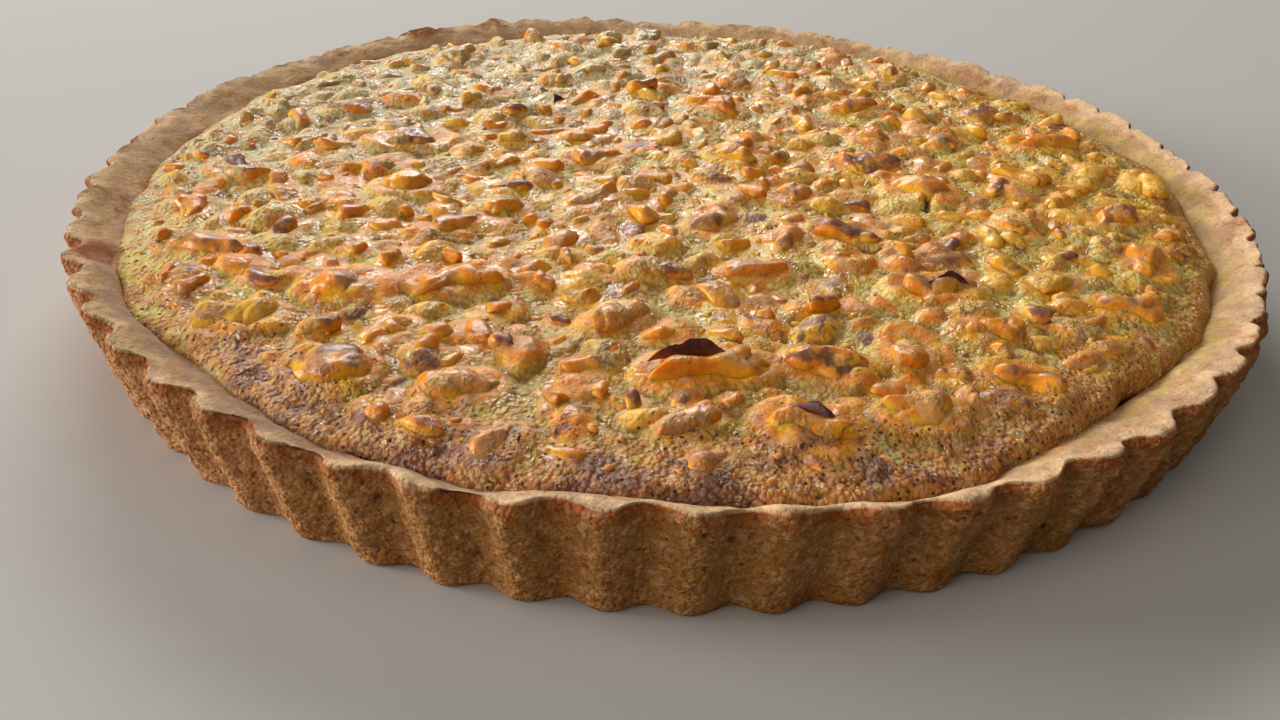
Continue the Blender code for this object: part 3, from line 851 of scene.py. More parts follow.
def crust_rows(angle):
    """(radius, height) of each row of the shell at each angle. Inside wall up to the custard, then the
    shelf, then a quarter round over the rim, the wall, a small round at the foot, and the underside. The
    shelf's height is a curve of the radius, so the rim stands higher on the crests than in the valleys."""
    meeting_r = custard_edge(angle) + GAP
    meeting_z = edge_level(angle) - lip(angle)
    crest_z = rim_height(angle) + bumps(angle, RIM_LUMPS)
    worn = worn_rim(angle)
    rim_r = wall_radius(angle, RIM_HEIGHT) - worn

    def shelf(radius):
        share = np.clip((radius - meeting_r) / (RIM_RADIUS - meeting_r), 0, 1)
        return meeting_z + (1 - (1 - share) ** SHELF_CURVE) * (crest_z - meeting_z)

    zero = 0 * angle
    rows = [(FLOOR_RADIUS + zero, FLOOR_THICKNESS + zero)]
    for share in (0.5, 0.85):
        rows.append((FLOOR_RADIUS + share * (meeting_r - FLOOR_RADIUS),
                     FLOOR_THICKNESS + share * (meeting_z - FLOOR_THICKNESS)))
    for share in np.linspace(0, 1, SHELF_ROWS):
        radius = meeting_r + share * (rim_r - RIM_ROUND - meeting_r)
        rows.append((radius, shelf(radius)))
    rim_z = shelf(rim_r - RIM_ROUND)
    for turn in np.radians(ROUND_TURNS):
        rows.append((rim_r - RIM_ROUND * (1 - np.sin(turn)), rim_z - RIM_ROUND * (1 - np.cos(turn))))
    foot = wall_radius(angle, 0)
    for share in np.linspace(0, 1, WALL_ROWS)[1:] ** 1.1:
        height = (rim_z - RIM_ROUND) * (1 - share) + FOOT_ROUND * share
        straight = rim_r + (foot - rim_r) * share
        rows.append((straight + worn * smooth_step(share, 0.0, 0.2) * (1 - share), height))
    for turn in np.radians([45, 90]):
        rows.append((foot - FOOT_ROUND * (1 - np.cos(turn)), FOOT_ROUND * (1 - np.sin(turn)) + zero))
    rows.append((0.5 * foot, zero))
    return rows


def worn_rim(angle):
    """How far the wall stands back along the rim: the crests are cut off flat, and the more so away from
    the front, so there they are wide lobes with narrow notches. The cut is eased and uneven."""
    spot = swept(130.0, np.radians(angle), 0 * angle)
    away = facing(turned_from(angle, CAMERA_SIDE) + 180, -0.85, -0.1)
    cut = 0.2 + WORN_EDGE * away * (1 + 0.3 * soft_noise(spot, 9.0, 33)) + 0.3 * layered_noise(spot, 4.0, 34)
    depth = RIM_FLUTE_DEPTH * (1 - flute(angle))
    narrowed = depth * (1 - 0.5 * away * np.clip(flute(angle) * 1.6, 0, 1))
    excess = cut - narrowed
    return narrowed - depth + (excess + np.sqrt(excess ** 2 + 0.1)) / 2


def bumps(angle, places):
    """Sum of bell curves round the tart, each (angle, half width, height)."""
    return sum(height * bell(turned_from(angle, middle), width) for middle, width, height in places)


def turned_from(angle, middle):
    """How far each angle is from one angle, from -180 to 180 degrees."""
    return (angle - middle + 180) % 360 - 180


def bake_crust(settings):
    """The fluted shell: its rows swept round, then moved along their normals by dough waves, sandy
    grains, pits and chips, all fading at the underside so that it stays flat. Its columns lie closer in
    front."""
    columns = FLUTES * COLUMNS_PER_FLUTE
    even = np.arange(columns) * 360 / columns
    angle = even + math.degrees(NEARER) * np.sin(np.radians(even - 90))
    rows = crust_rows(angle)
    radius, height = np.stack([r for r, _ in rows]), np.stack([z for _, z in rows])
    points = swept(radius, np.radians(angle), height)

    first_wall = INSIDE_ROWS + SHELF_ROWS + 4
    row = np.arange(len(rows))[:, None] + 0 * angle
    past = row - first_wall
    on_shelf = smooth_step(row, INSIDE_ROWS, INSIDE_ROWS + 4) * (1 - smooth_step(past, -2, 4))
    on_wall = smooth_step(past, -3, 3)
    at_rim = bell(past + 1, 4.0)
    shown = smooth_step(height, 0.0, 1.5)

    swell = (layered_noise(points, 12.0, 5) + 0.25 * layered_noise(points, 5.0, 6)) * on_shelf
    swell = swell + 0.35 * layered_noise(points, 7.0, 9) * on_wall
    rough = 0.35 + 0.65 * np.maximum(on_wall, at_rim)  # the shelf is smoother
    grains = (soft_noise(points, 2.4, 15) + 0.8 * soft_noise(points, 1.3, 16)) * rough
    crumbs = dots(points, 1.7, 1.0, 0.5, 25) * on_wall
    pits = dots(points, 3.6, 1.1, 0.35, 31) * (0.15 + 0.85 * on_wall)
    chips = np.maximum(0, layered_noise(points, 4.0, 35)) ** 1.3 * at_rim
    broken = bumps(angle, BROKEN) * at_rim
    move = (settings.dough_waves * swell + settings.crumb_depth * (grains + 1.3 * crumbs)
            - CHIP_DEPTH * (pits + chips) + 0.9 * broken * soft_noise(points, 2.2, 37)) * shown
    points = points + grid_normals(points) * move[..., None]
    points[..., 2] = np.maximum(points[..., 2], 0) + 0.35 * at_rim * layered_noise(points, 6.0, 39)

    out = radius - custard_edge(angle)
    # A band along the rim's crest, made paler: partly flour, partly painted highlight.
    crown = bell(past + 7.0, 4.0) * on_shelf
    beyond = smooth_step(out, 4.0, 8.0) * facing(angle, -0.4, 0.4)
    smear = np.clip(1.6 - np.abs(turned_from(angle, SMEARED)) / 25, 0, 1)
    spots = sum(strength * bell(turned_from(angle, middle), spread) * bell(radius - place, wide)
                for middle, spread, place, wide, strength in TOASTED)
    # Its last term darkens the shelf within a few millimetres of the custard's edge: painted shade where the
    # two meet.
    toast_and_gap_shade = (0.8 * bell(past + 1.0, 1.8) + 0.7 * bell(past - 3.0, 3.5) * on_wall
             + 0.5 * bell(past, 3.0) * (1 - flute(angle)) ** 2
             + 0.5 * smooth_step(layered_noise(points, 13.0, 41), 0.45, 1.0) * on_shelf + spots * on_shelf
             + 0.25 * smooth_step(past, WALL_ROWS - 6, WALL_ROWS) + 0.4 * on_shelf * bell(out, 1.5))
    marks = {
        "toast_and_gap_shade": toast_and_gap_shade,
        "pale": on_shelf * (0.75 - 0.2 * beyond) + 0.3 * crown,
        # Pits, where the pastry is coloured dark as painted shade.
        "hole_shade": pits,
        "stain": bell(np.maximum(0, out), 5.0) * smear * on_shelf,
        "yolk": on_shelf * facing(angle - 5, 0.0, 0.8) * (1 - smooth_step(out, 3.0, 7.5)),
        "wall": on_wall,
        "rim": at_rim,
        "crown": crown,
        # The wall's right side, away from the lights, darkened as painted shade.
        "right_wall_shade": on_wall * facing(angle + 50, -0.2, 0.8),
    }
    ends = np.array([[0, 0, FLOOR_THICKNESS], [0, 0, 0]])
    count = len(rows) * columns
    ring = np.arange(columns)
    fans = np.concatenate([fan(ring, count), fan(ring[::-1] + count - columns, count + 1)])
    marks = {key: np.append(values.ravel(), [0, 0]) for key, values in marks.items()}
    points = np.concatenate([points.reshape(-1, 3), ends])
    return put_mesh("baked_crust", points, ring_quads(len(rows), columns), fans, marks)


# Walnuts

def strewn(count, lengths, seed, taken, overlap):
    """Pieces strewn by a seeded draw, from long to short: each takes the one with the most room of the
    places tried, and is left out where even that one overlaps too much."""
    draw = random.Random(seed)
    ends = [spine_ends(w) for w in taken]
    lines = [(a.x, a.y, b.x, b.y, w.width / 2) for (a, b), w in zip(ends, taken)]
    found = []
    for index in range(count):
        share = index / count
        length = lengths[1] + (lengths[0] - lengths[1]) * share ** 0.6
        offers = []
        for _ in range(PLACES_TRIED):
            angle = draw.uniform(0, 360)
            radius = (custard_edge(angle) - STREWN_CLEARANCE - length / 2) * math.sqrt(draw.random())
            offers.append((radius * math.cos(math.radians(angle)), radius * math.sin(math.radians(angle))))
        heading = draw.uniform(-90, 90)
        room = room_at(np.array(offers), np.array(lines)) - length / 3
        best = int(np.argmax(room))
        if room[best] < -overlap:
            continue
        piece = chopped(*offers[best], length, heading, seed * 1000 + index)
        found.append(piece)
        a, b = spine_ends(piece)
        lines.append((a.x, a.y, b.x, b.y, piece.width / 2))
    return found


def room_at(places, lines):
    """Distance from each place to the nearest outline; a line is (x, y, x, y, half width)."""
    start, way = lines[:, 0:2], lines[:, 2:4] - lines[:, 0:2]
    offset = places[:, None, :] - start[None]
    share = np.clip((offset * way).sum(-1) / np.maximum((way ** 2).sum(-1), 1e-9), 0, 1)
    return (np.linalg.norm(offset - share[..., None] * way, axis=-1) - lines[:, 4]).min(axis=1)


@functools.cache
def bits():
    """The pieces of a few millimetres, in the room that the larger ones leave."""
    large, small = layout()
    count = bpy.context.scene.tart_walnuts.bits
    return strewn(count, BIT_LENGTH, 11, large + small, BIT_OVERLAP)


@functools.cache
def mounds():
    """Nuts under a skin of custard: pieces with their own width, height, tilt, tone, roast and film."""
    large, _ = layout()
    count = bpy.context.scene.tart_custard.mounds
    draw = random.Random(23)
    found = []
    for nut in strewn(count, MOUND_LENGTH, 29, large, MOUND_OVERLAP):
        width = nut.length * draw.uniform(*MOUND_WIDTH)
        high = min(MOST_MOUND, MOUND_HEIGHT * width * draw.uniform(0.5, 1.3))
        looks = (draw.uniform(-0.4, 0.4), draw.random(), draw.random() ** 1.7, draw.random())
        found.append((nut, width, high, *looks))
    return found


def nearby(x, y, piece, reach):
    """Which points lie in the square of that reach round a piece."""
    return np.nonzero((np.abs(x - piece.x) < reach) & (np.abs(y - piece.y) < reach))


def nut_field(x, y):
    """What the hidden nuts make of the custard over each point: the height of the highest dome there, the
    point's share of that dome's height, and its nut's tone, roast and film. A dome is
    high (1 - rho)^0.85 (1 + tilt u), where rho = |u|^2.2 + |v|^2.2, and u and v are the distances from
    its middle along and across it, in its own half sizes, bent a little by noise."""
    flat = level_points(x, y)
    bent_x = x + 1.3 * soft_noise(flat, 5.0, 101) + 0.5 * soft_noise(flat, 2.2, 103)
    bent_y = y + 1.3 * soft_noise(flat, 5.0, 102) + 0.5 * soft_noise(flat, 2.2, 104)
    ridged = 1 + 0.25 * soft_noise(flat, 3.2, 107)
    field = {key: np.zeros_like(x) for key in ("high", "rise", "tone", "roast", "film")}
    for nut, width, high, tilt, tone, roast, film in mounds():
        near = nearby(x, y, nut, nut.length / 2 + MOST_BEND)
        dx, dy = bent_x[near] - nut.x, bent_y[near] - nut.y
        turn = math.radians(nut.heading)
        along = (dx * math.cos(turn) + dy * math.sin(turn)) / (nut.length / 2)
        across = (dy * math.cos(turn) - dx * math.sin(turn)) / (width / 2)
        share = np.clip(1 - np.abs(along) ** 2.2 - np.abs(across) ** 2.2, 0, 1) ** 0.85
        height = high * share * (1 + tilt * along) * ridged[near]
        above = height > field["high"][near]
        place = tuple(axis[above] for axis in near)
        found = {"high": height[above], "rise": share[above], "tone": tone, "roast": roast, "film": film}
        for key, values in found.items():
            field[key][place] = values
    return field


def collar(x, y, pieces):
    """How high the custard climbs the pieces near each point: CLIMB of a piece's proud height, more or
    less by noise, times exp(-(d / CLIMB_REACH)^2), d being the distance outside its outline. Also
    1 - d / 3, clipped."""
    highest, close = np.zeros_like(x), np.zeros_like(x)
    uneven = 1 + 0.45 * layered_noise(level_points(x, y), 5.0, 105)
    for piece in pieces:
        near = nearby(x, y, piece, piece.length / 2 + COLLAR_REACH)
        a, b = spine_ends(piece)
        line = np.array([[a.x, a.y, b.x, b.y, piece.width / 2]])
        out = np.maximum(0, room_at(np.stack([x[near], y[near]], axis=-1), line))
        climb = CLIMB * piece.proud * uneven[near] * bell(out, CLIMB_REACH)
        highest[near] = np.maximum(highest[near], climb)
        close[near] = np.maximum(close[near], 1 - out / 3)
    return highest, close


def unit_forms(pieces, rows, columns):
    """Points of each kernel's unit form, and 1 where it is creased. The rows run from its one end to the
    other and the columns round its length. A rounded box with lobes, as in the solid, is cut by flat
    planes, each eased by (e + sqrt(e^2 + CUT_EASE^2)) / 2 of the excess e, then bent and roughened."""
    down = np.linspace(0, math.pi, rows + 2)[1:-1, None]
    around = np.arange(columns)[None] * math.tau / columns
    way = np.stack([np.cos(down) + 0 * around, np.sin(down) * np.cos(around), np.sin(down) * np.sin(around)],
                   axis=-1)
    ends = np.array([[1.0, 0, 0], [-1.0, 0, 0]])
    way = np.concatenate([ends[:1], way.reshape(-1, 3), ends[1:]])[None]
    reaches = ((0, math.tau), (0, math.tau), (-LOBE_SLANT, LOBE_SLANT))
    draws = [random.Random(piece.seed) for piece in pieces]
    drawn = [[draw.uniform(*reach) for reach in reaches] for draw in draws]
    phase, side_phase, slant = (np.array(column)[:, None] for column in zip(*drawn))
    x, y, z = (way[..., axis] for axis in range(3))
    box = (abs(x) ** SQUARENESS + abs(y) ** SQUARENESS + abs(z) ** SQUARENESS) ** (-1 / SQUARENESS)
    lobes = 0.5 + 0.5 * np.cos(LOBE_TURN * x + slant * y + phase)
    side_lobes = 0.5 + 0.5 * np.cos(SIDE_LOBE_TURN * (y + z / 2) + side_phase)
    form = box * (1 - LOBE_DEPTH * lobes - SIDE_LOBE_DEPTH * side_lobes)
    points = way * form[..., None]
    planes = np.random.default_rng(99 + pieces[0].seed)
    for _ in range(CUTS):
        normal = planes.normal(size=(len(pieces), 1, 3)) * (1.0, 1.3, 0.9)
        normal /= np.linalg.norm(normal, axis=-1, keepdims=True)
        excess = (points * normal).sum(-1) - planes.uniform(0.5, 0.85, size=(len(pieces), 1))
        eased = (excess + np.sqrt(excess ** 2 + CUT_EASE ** 2)) / 2
        points = points - 0.85 * eased[..., None] * normal
    half = np.array([(piece.length, piece.width, piece.thickness) for piece in pieces])[:, None] / 2
    shift = np.array([piece.seed for piece in pieces])[:, None, None] * 7.3
    bend = [soft_noise(points * half + shift + 40.0 * axis, 6.5, 55 + axis) for axis in range(3)]
    points = points + 0.22 * np.stack(bend, axis=-1)
    spot = points * half + shift
    rough = (0.17 * soft_noise(spot, 4.2, 51) + 0.07 * soft_noise(spot, 2.0, 52)
             + 0.02 * soft_noise(spot, 0.9, 53))
    creases = np.clip(1 - np.abs(soft_noise(spot, 4.4, 54)) / 0.2, 0, 1) ** 2
    return points * (1 + rough - 0.11 * creases)[..., None], creases


def kernels(name, pieces, rows, columns, tops, tilt=0.0, looks=None):
    """One mesh of many kernels: unit forms brought to each piece's length, width and thickness, tilted a
    little, turned to its heading, and set with its top at the height given. Their tone and roast are
    drawn, yellower to the right and at the back, unless looks gives them."""
    points, creases = unit_forms(pieces, rows, columns)
    low, high = points.min(axis=1, keepdims=True), points.max(axis=1, keepdims=True)
    size = np.array([(w.length, w.width, w.thickness) for w in pieces])[:, None, :]
    points = ((points - low) / (high - low) - 0.5) * size
    lean = np.random.default_rng(len(pieces)).uniform(-tilt, tilt, size=(len(pieces), 1))
    x, z = points[..., 0], points[..., 2]
    points[..., 0], points[..., 2] = x * np.cos(lean) - z * np.sin(lean), x * np.sin(lean) + z * np.cos(lean)
    turn = np.radians([w.heading for w in pieces])[:, None]
    middle_x, middle_y = middles(pieces)
    tops = np.asarray(tops)[:, None]
    x, y = points[..., 0].copy(), points[..., 1].copy()
    points[..., 0] = x * np.cos(turn) - y * np.sin(turn) + middle_x[:, None]
    points[..., 1] = x * np.sin(turn) + y * np.cos(turn) + middle_y[:, None]
    points[..., 2] += tops - size[..., 2] / 2
    proud = np.array([w.proud for w in pieces])[:, None]
    rise = (points[..., 2] - (tops - proud)) / proud

    draws = np.random.default_rng(7 + pieces[0].seed)
    tone = np.clip(draws.uniform(0.1, 1, len(pieces)) - 0.0015 * middle_x - 0.002 * middle_y, 0, 1)
    roast = draws.uniform(0, 1, len(pieces)) ** 1.8
    tone = np.maximum(tone, 0.6 * smooth_step(-middle_y, 70, 100))
    if looks:
        tone, roast = ([number] for number in looks)
    film = draws.uniform(0, 1, len(pieces))
    each = rows * columns + 2
    marks = {
        "rise": rise,
        "foam": front_browning(points[..., 0], points[..., 1]),
        # Painted sheen: high at the back and the left.
        "away": sheen_zone(points[..., 0], points[..., 1]),
        "tone": np.repeat(tone, each),
        "roast": np.repeat(roast, each),
        "film": np.repeat(film, each),
        "crease": creases,
    }
    return put_mesh(name, points.reshape(-1, 3), *capped_tubes(len(pieces), rows, columns), marks)


def middles(pieces):
    return np.array([w.x for w in pieces]), np.array([w.y for w in pieces])


def tops_of(pieces):
    return [float(custard_level(w.x, w.y)) + w.proud for w in pieces]


def surface_under(pieces):
    """Height of the custard under each piece, mounds counted."""
    x, y = middles(pieces)
    return custard_level(x, y) + 0.8 * nut_field(x, y)["high"]


# Custard

def disc_grid(rows, columns):
    """Shares of the radius and angles of a square grid brought to a disc, square ring by square ring:
    the larger coordinate gives the radius, and the ratio of the two the angle. Its lines lie closer in
    front, each at t + NEARER (t^2 - 1)."""
    line = np.linspace(-1, 1, columns)
    a, b = np.meshgrid(np.linspace(-1, 1, rows), line + NEARER * (line ** 2 - 1), indexing="ij")
    wide = np.abs(a) > np.abs(b)
    with np.errstate(divide="ignore", invalid="ignore"):
        turn = np.where(wide, (math.pi / 4) * (b / a), math.pi / 2 - (math.pi / 4) * (a / b))
    turn = np.nan_to_num(turn)
    radius = np.where(wide, a, b)
    return np.abs(radius), np.where(radius < 0, turn + math.pi, turn)


def spill(turn):
    """How far the custard's lip runs out at each angle, by waves that close round the tart."""
    return SPILL + waves(np.degrees(turn), LIP_WAVES)


def lip_drop(over, angle):
    """How far the lip has dropped at a distance over its start: a quarter ellipse."""
    share = np.clip(over / LIP_WIDTH, 0, 1)
    return (lip(angle) + LIP_DEEPER) * (1 - np.sqrt(1 - share ** 2))


def pour_custard(settings):
    """The custard: a disc at its level, domed over hidden nuts, climbing the ones that show, grainy,
    pitted and cracked, rolled off at its lip and closed down to the pastry's floor."""
    large, small = layout()
    share, turn = disc_grid(CUSTARD_ROWS, CUSTARD_COLUMNS)
    angle = np.degrees(turn)
    edge = custard_edge(angle) + spill(turn)
    last = edge - LIP_WIDTH * (1 - math.sin(math.radians(60)))
    radius = share * last
    x, y = radius * np.cos(turn), radius * np.sin(turn)
    flat = level_points(x, y)

    browned = front_browning(x, y)
    foam = np.clip(browned, 0, 1)
    nuts = nut_field(x, y)
    domes = nuts["high"] * (1 - 0.75 * foam) * smooth_step(radius, last + 1, last - 4)
    climb, close = collar(x, y, large + small + bits())
    grainy = (0.5 + 0.5 * smooth_step(share, 0.72, 0.98)) * (1 + 0.5 * foam)
    curds = np.abs(soft_noise(flat, 2.6, 61)) + 0.6 * np.abs(soft_noise(flat, 1.5, 62))
    grain = layered_noise(flat, 4.4, 63, 2) + (0.6 - curds) * grainy
    knobs = (dots(flat, 3.2, 1.8, 0.7, 71) + 0.7 * dots(flat, 1.9, 1.1, 0.7, 75)) * grainy
    pits = dots(flat, 4.2, 0.9, 0.3, 81) * (0.5 + 0.7 * browned)
    crack = cracks(x, y)
    calm = (1 - 0.8 * np.clip(climb / 0.8, 0, 1)) * (1 - smooth_step(share, 0.97, 1.0))
    z = custard_level(x, y) + np.maximum(domes, climb)
    z += (settings.grain * grain + KNOB_HEIGHT * knobs) * calm - PIT_DEPTH * pits - CRACK_DEPTH * crack
    # Hollows below their surroundings; the material darkens them as painted shade.
    low = smooth_step(blurred(z, 5) - z, 0.05, 0.9)
    z -= lip_drop(radius - (edge - LIP_WIDTH), angle)

    shown = domes >= climb
    marks = {
        "rise": np.where(shown, nuts["rise"] * np.minimum(1, domes / 0.5), 0.55 * close ** 1.5),
        "tone": np.where(shown, nuts["tone"], 0.6),
        "roast": nuts["roast"] * shown,
        "film": np.where(shown, nuts["film"], 0.3),
        "browned": browned,
        "porous": 0.7 * browned,
        # Cracks and pits, coloured near black as painted shade.
        "crack": np.maximum(crack, 0.6 * pits),
        # Painted sheen: paler, cooler colours at the back and the left.
        "pale": sheen_zone(x, y),
        "low": low,
        "amber": smooth_step(-y - 0.2 * np.abs(x), 0, 90),
        "ring": crisp_ring(x, y),
        "grainy": grainy,
    }
    return close_custard(np.stack([x, y, z], axis=-1), turn, edge, marks)


def close_custard(points, turn, edge, marks):
    """The custard's mesh: the grid of its top, then three rings from its border, two that end the lip
    and one on the pastry's floor, and a fan. The rings take the marks of the border."""
    numbers = np.arange(turn.size).reshape(turn.shape)
    quads = np.stack([numbers[:-1, :-1], numbers[1:, :-1], numbers[1:, 1:], numbers[:-1, 1:]], axis=-1)
    border = np.concatenate([numbers[:, 0], numbers[-1, 1:], numbers[-2::-1, -1], numbers[0, -2:0:-1]])
    points = points.reshape(-1, 3)

    turn, edge = turn.ravel()[border], edge.ravel()[border]
    drop = lip(np.degrees(turn)) + LIP_DEEPER
    rings = []
    for roll in np.radians([75, 90]):
        radius = edge - LIP_WIDTH * (1 - math.sin(roll))
        rings.append((radius, points[border, 2] - drop * (0.5 - math.cos(roll))))
    rings.append((FLOOR_RADIUS - GAP + 0 * turn, FLOOR_THICKNESS + GAP + 0 * turn))
    skirt = [swept(radius, turn, height) for radius, height in rings]
    below = numbers.size + np.arange(len(rings) * len(border)).reshape(len(rings), -1)
    here = np.concatenate([border[None], below])
    beside = np.roll(here, -1, axis=1)
    skirt_quads = np.stack([here[:-1], here[1:], beside[1:], beside[:-1]], axis=-1)
    bottom = fan(here[-1][::-1], below[-1, -1] + 1)
    points = np.concatenate([points, *skirt, [[0, 0, FLOOR_THICKNESS + GAP]]])
    quads = np.concatenate([quads.reshape(-1, 4), skirt_quads.reshape(-1, 4)])
    for key, values in marks.items():
        values = values.ravel()
        marks[key] = np.concatenate([values, np.tile(values[border], len(rings)), [0]])
    return put_mesh("set_custard", points, quads, bottom, marks)


def blurred(values, reach):
    """Mean of a grid over squares of that many cells each way, edges repeated."""
    padded = np.pad(values, reach, mode="edge")
    total = np.pad(padded.cumsum(0).cumsum(1), ((1, 0), (1, 0)))
    size = 2 * reach + 1
    far, near = total[size:], total[:-size]
    return (far[:, size:] - near[:, size:] - far[:, :-size] + near[:, :-size]) / size ** 2


def from_edge(x, y):
    """Each point's angle, and how far inside the custard's edge it lies."""
    angle = np.degrees(np.arctan2(y, x))
    return angle, np.maximum(0, custard_edge(angle) - np.hypot(x, y))


def front_browning(x, y):
    """1 in the browned foam along the front edge: it fades inwards over 12 mm and towards the sides."""
    angle, inwards = from_edge(x, y)
    front = np.clip(1.35 - np.abs(turned_from(angle, CAMERA_SIDE)) / 50, 0, 1)
    patchy = 1.1 + 0.35 * layered_noise(level_points(x, y), 14.0, 97)
    return front * bell(inwards, 12.0) * patchy


def sheen_zone(x, y):
    """1 at the back and the left, towards the lights, falling to 0 in front and on the right: where it is
    high the colours are paler and cooler, as painted sheen.
    """
    return smooth_step(0.8 * y - 0.6 * x, -20, 90)


def crisp_ring(x, y):
    """1 along the custard's edge, where it is toasted, the most in one spot on the right."""
    angle, inwards = from_edge(x, y)
    spot = 1.3 * bell(turned_from(angle, CRISPEST), 4.0)
    right = facing(angle + 40, -0.3, 0.7)
    return (0.5 + 0.5 * right + spot) * bell(inwards, 3.5 + 3.0 * right)


def cracks(x, y):
    """1 along each crack, falling to 0 within a millimetre of it."""
    nearest = np.full(x.shape, 9.0)
    flat = np.stack([x, y], axis=-1).reshape(-1, 2)
    for path in CRACKS:
        for (ax, ay), (bx, by) in zip(path, path[1:]):
            distance = room_at(flat, np.array([[ax, ay, bx, by, 0.0]])).reshape(x.shape)
            nearest = np.minimum(nearest, distance)
    return np.clip(1 - nearest - 0.5 * soft_noise(level_points(x, y), 2.5, 95), 0, 1)


# Flakes of skin

def lay_flakes():
    """Thin leaves on edge. Each is a closed ring of points at every step s along its length: up its front
    and down its back as (thickness / 2 sin phi, height (1 - cos phi) / 2). The height rises to the
    flake's own at s = 0.42 and falls again, torn by noise. The leaf is bowed along its length, and leans
    back as the square of the height."""
    large, small = layout()
    rows, columns = LEAF_STEPS
    share = np.linspace(0, 1, rows + 2)[1:-1, None]
    phi = np.arange(columns)[None] * math.tau / columns
    flakes = FLAKES + MORE_FLAKES
    points, rise = [], []
    for index, (x, y, length, heading) in enumerate(flakes):
        under = min(large + small, key=lambda w: math.hypot(w.x - x, w.y - y))
        level = float(custard_level(np.array(x), np.array(y)))
        near = math.hypot(under.x - x, under.y - y) < under.length / 2
        foot = level + (under.proud - FLAKE_ROOT if near else -0.4)
        high = LEAF_HEIGHT * (length / FLAKES[0][2]) ** 1.2
        ridge = np.where(share > 0.42, ((1 - share) / 0.58) ** 0.8, 1 - (1 - share / 0.42) ** 1.5)
        torn = np.concatenate([share * length, 0 * share, 0 * share], axis=-1) + index * 31.0
        ragged = 0.38 * layered_noise(torn, 3.6, 111)
        ridge = ridge * (1 + ragged[:, None] + 0.12 * soft_noise(torn, 1.1, 112)[:, None])
        up = ridge * (1 - np.cos(phi)) / 2
        bow = 0.10 * length * (2 * share - 1) ** 2 * (1 if index % 2 else -1)
        spot = np.stack([share * length + 0 * phi, 0 * up, up * high], axis=-1) + index * 31.0
        side = 0.2 * np.sin(phi) * ridge ** 0.5 + bow + 0.9 * up ** 2 + 0.5 * soft_noise(spot, 3.0, 113)
        flake = np.stack([length * (0.5 - share) + 0 * up, side, high * up], axis=-1).reshape(-1, 3)
        tips = np.array([[length / 2, flake[0, 1], 0], [-length / 2, flake[-1, 1], 0]])
        flake = np.concatenate([tips[:1], flake, tips[1:]])
        rise.append(flake[:, 2] / high)
        turn = np.array(Matrix.Rotation(math.radians(heading), 3, "Z"))
        points.append(flake @ turn.T + (x, y, foot))
    faces = capped_tubes(len(flakes), rows, columns)
    return put_mesh("skin_flakes", np.concatenate(points), *faces, {"rise": np.concatenate(rise)})


# Operators

class TART_OT_crust(bpy.types.Operator):
    """Bake the fluted shortcrust shell"""
    bl_idname = "tart.crust"
    bl_label = "Crust"

    def execute(self, context):
        settings = context.scene.tart_crust
        finish_piece(bake_crust(settings), pastry_finish(settings), "pastry", "crust")
        return {"FINISHED"}


class TART_OT_custard(bpy.types.Operator):
    """Pour and set the custard"""
    bl_idname = "tart.custard"
    bl_label = "Custard"

    def execute(self, context):
        settings = context.scene.tart_custard
        material = custard_finish(settings, context.scene.tart_walnuts)
        finish_piece(pour_custard(settings), material, "custard", "filling")
        return {"FINISHED"}


class TART_OT_walnuts(bpy.types.Operator):
    """Set each large walnut piece in its place, one for each of the solids"""
    bl_idname = "tart.walnuts"
    bl_label = "Large walnuts"

    def execute(self, context):
        material = walnut_material(context.scene.tart_walnuts)
        large, _ = layout()
        placed = itertools.zip_longest(large, tops_of(large), PLACED_LOOKS)
        for index, (walnut, top, looks) in enumerate(placed, 1):
            piece = kernels(f"kernel_{index:02d}", [walnut], 52, 34, [top], looks=looks)
            finish_piece(piece, material, "walnut", f"walnut_{index:02d}")
        return {"FINISHED"}


class TART_OT_pieces(bpy.types.Operator):
    """Strew the smaller walnut pieces, one mesh for each size"""
    bl_idname = "tart.pieces"
    bl_label = "Small walnuts"

    def execute(self, context):
        settings = context.scene.tart_walnuts
        material = walnut_material(settings)
        large, small = layout()
        strewn_bits = bits()
        grains = strewn(settings.crumbs, CRUMB_LENGTH, 17, large, 0.4)
        for name, pieces, rows, columns, tops, tilt in (
                ("small_walnuts", small, 36, 24, tops_of(small), 0.0),
                ("walnut_bits", strewn_bits, 15, 12, None, 0.35),
                ("walnut_grains", grains, 4, 6, None, 0.6)):
            if tops is None:
                tops = surface_under(pieces) + [w.proud for w in pieces]
            finish_piece(kernels(name, pieces, rows, columns, tops, tilt), material, "walnut", "filling")
        return {"FINISHED"}


class TART_OT_flakes(bpy.types.Operator):
    """Stand the flakes of walnut skin on their kernels"""
    bl_idname = "tart.flakes"
    bl_label = "Skin flakes"

    def execute(self, context):
        finish_piece(lay_flakes(), skin_finish(context.scene.tart_walnuts), "walnut")
        return {"FINISHED"}


class TART_OT_stage(bpy.types.Operator):
    """Set the plain floor, the soft lights and the camera"""
    bl_idname = "tart.stage"
    bl_label = "Stage"

    def execute(self, context):
        settings = context.scene.tart_stage
        set_camera(settings)
        set_lights(settings)
        set_floor(settings)
        return {"FINISHED"}


# Stage

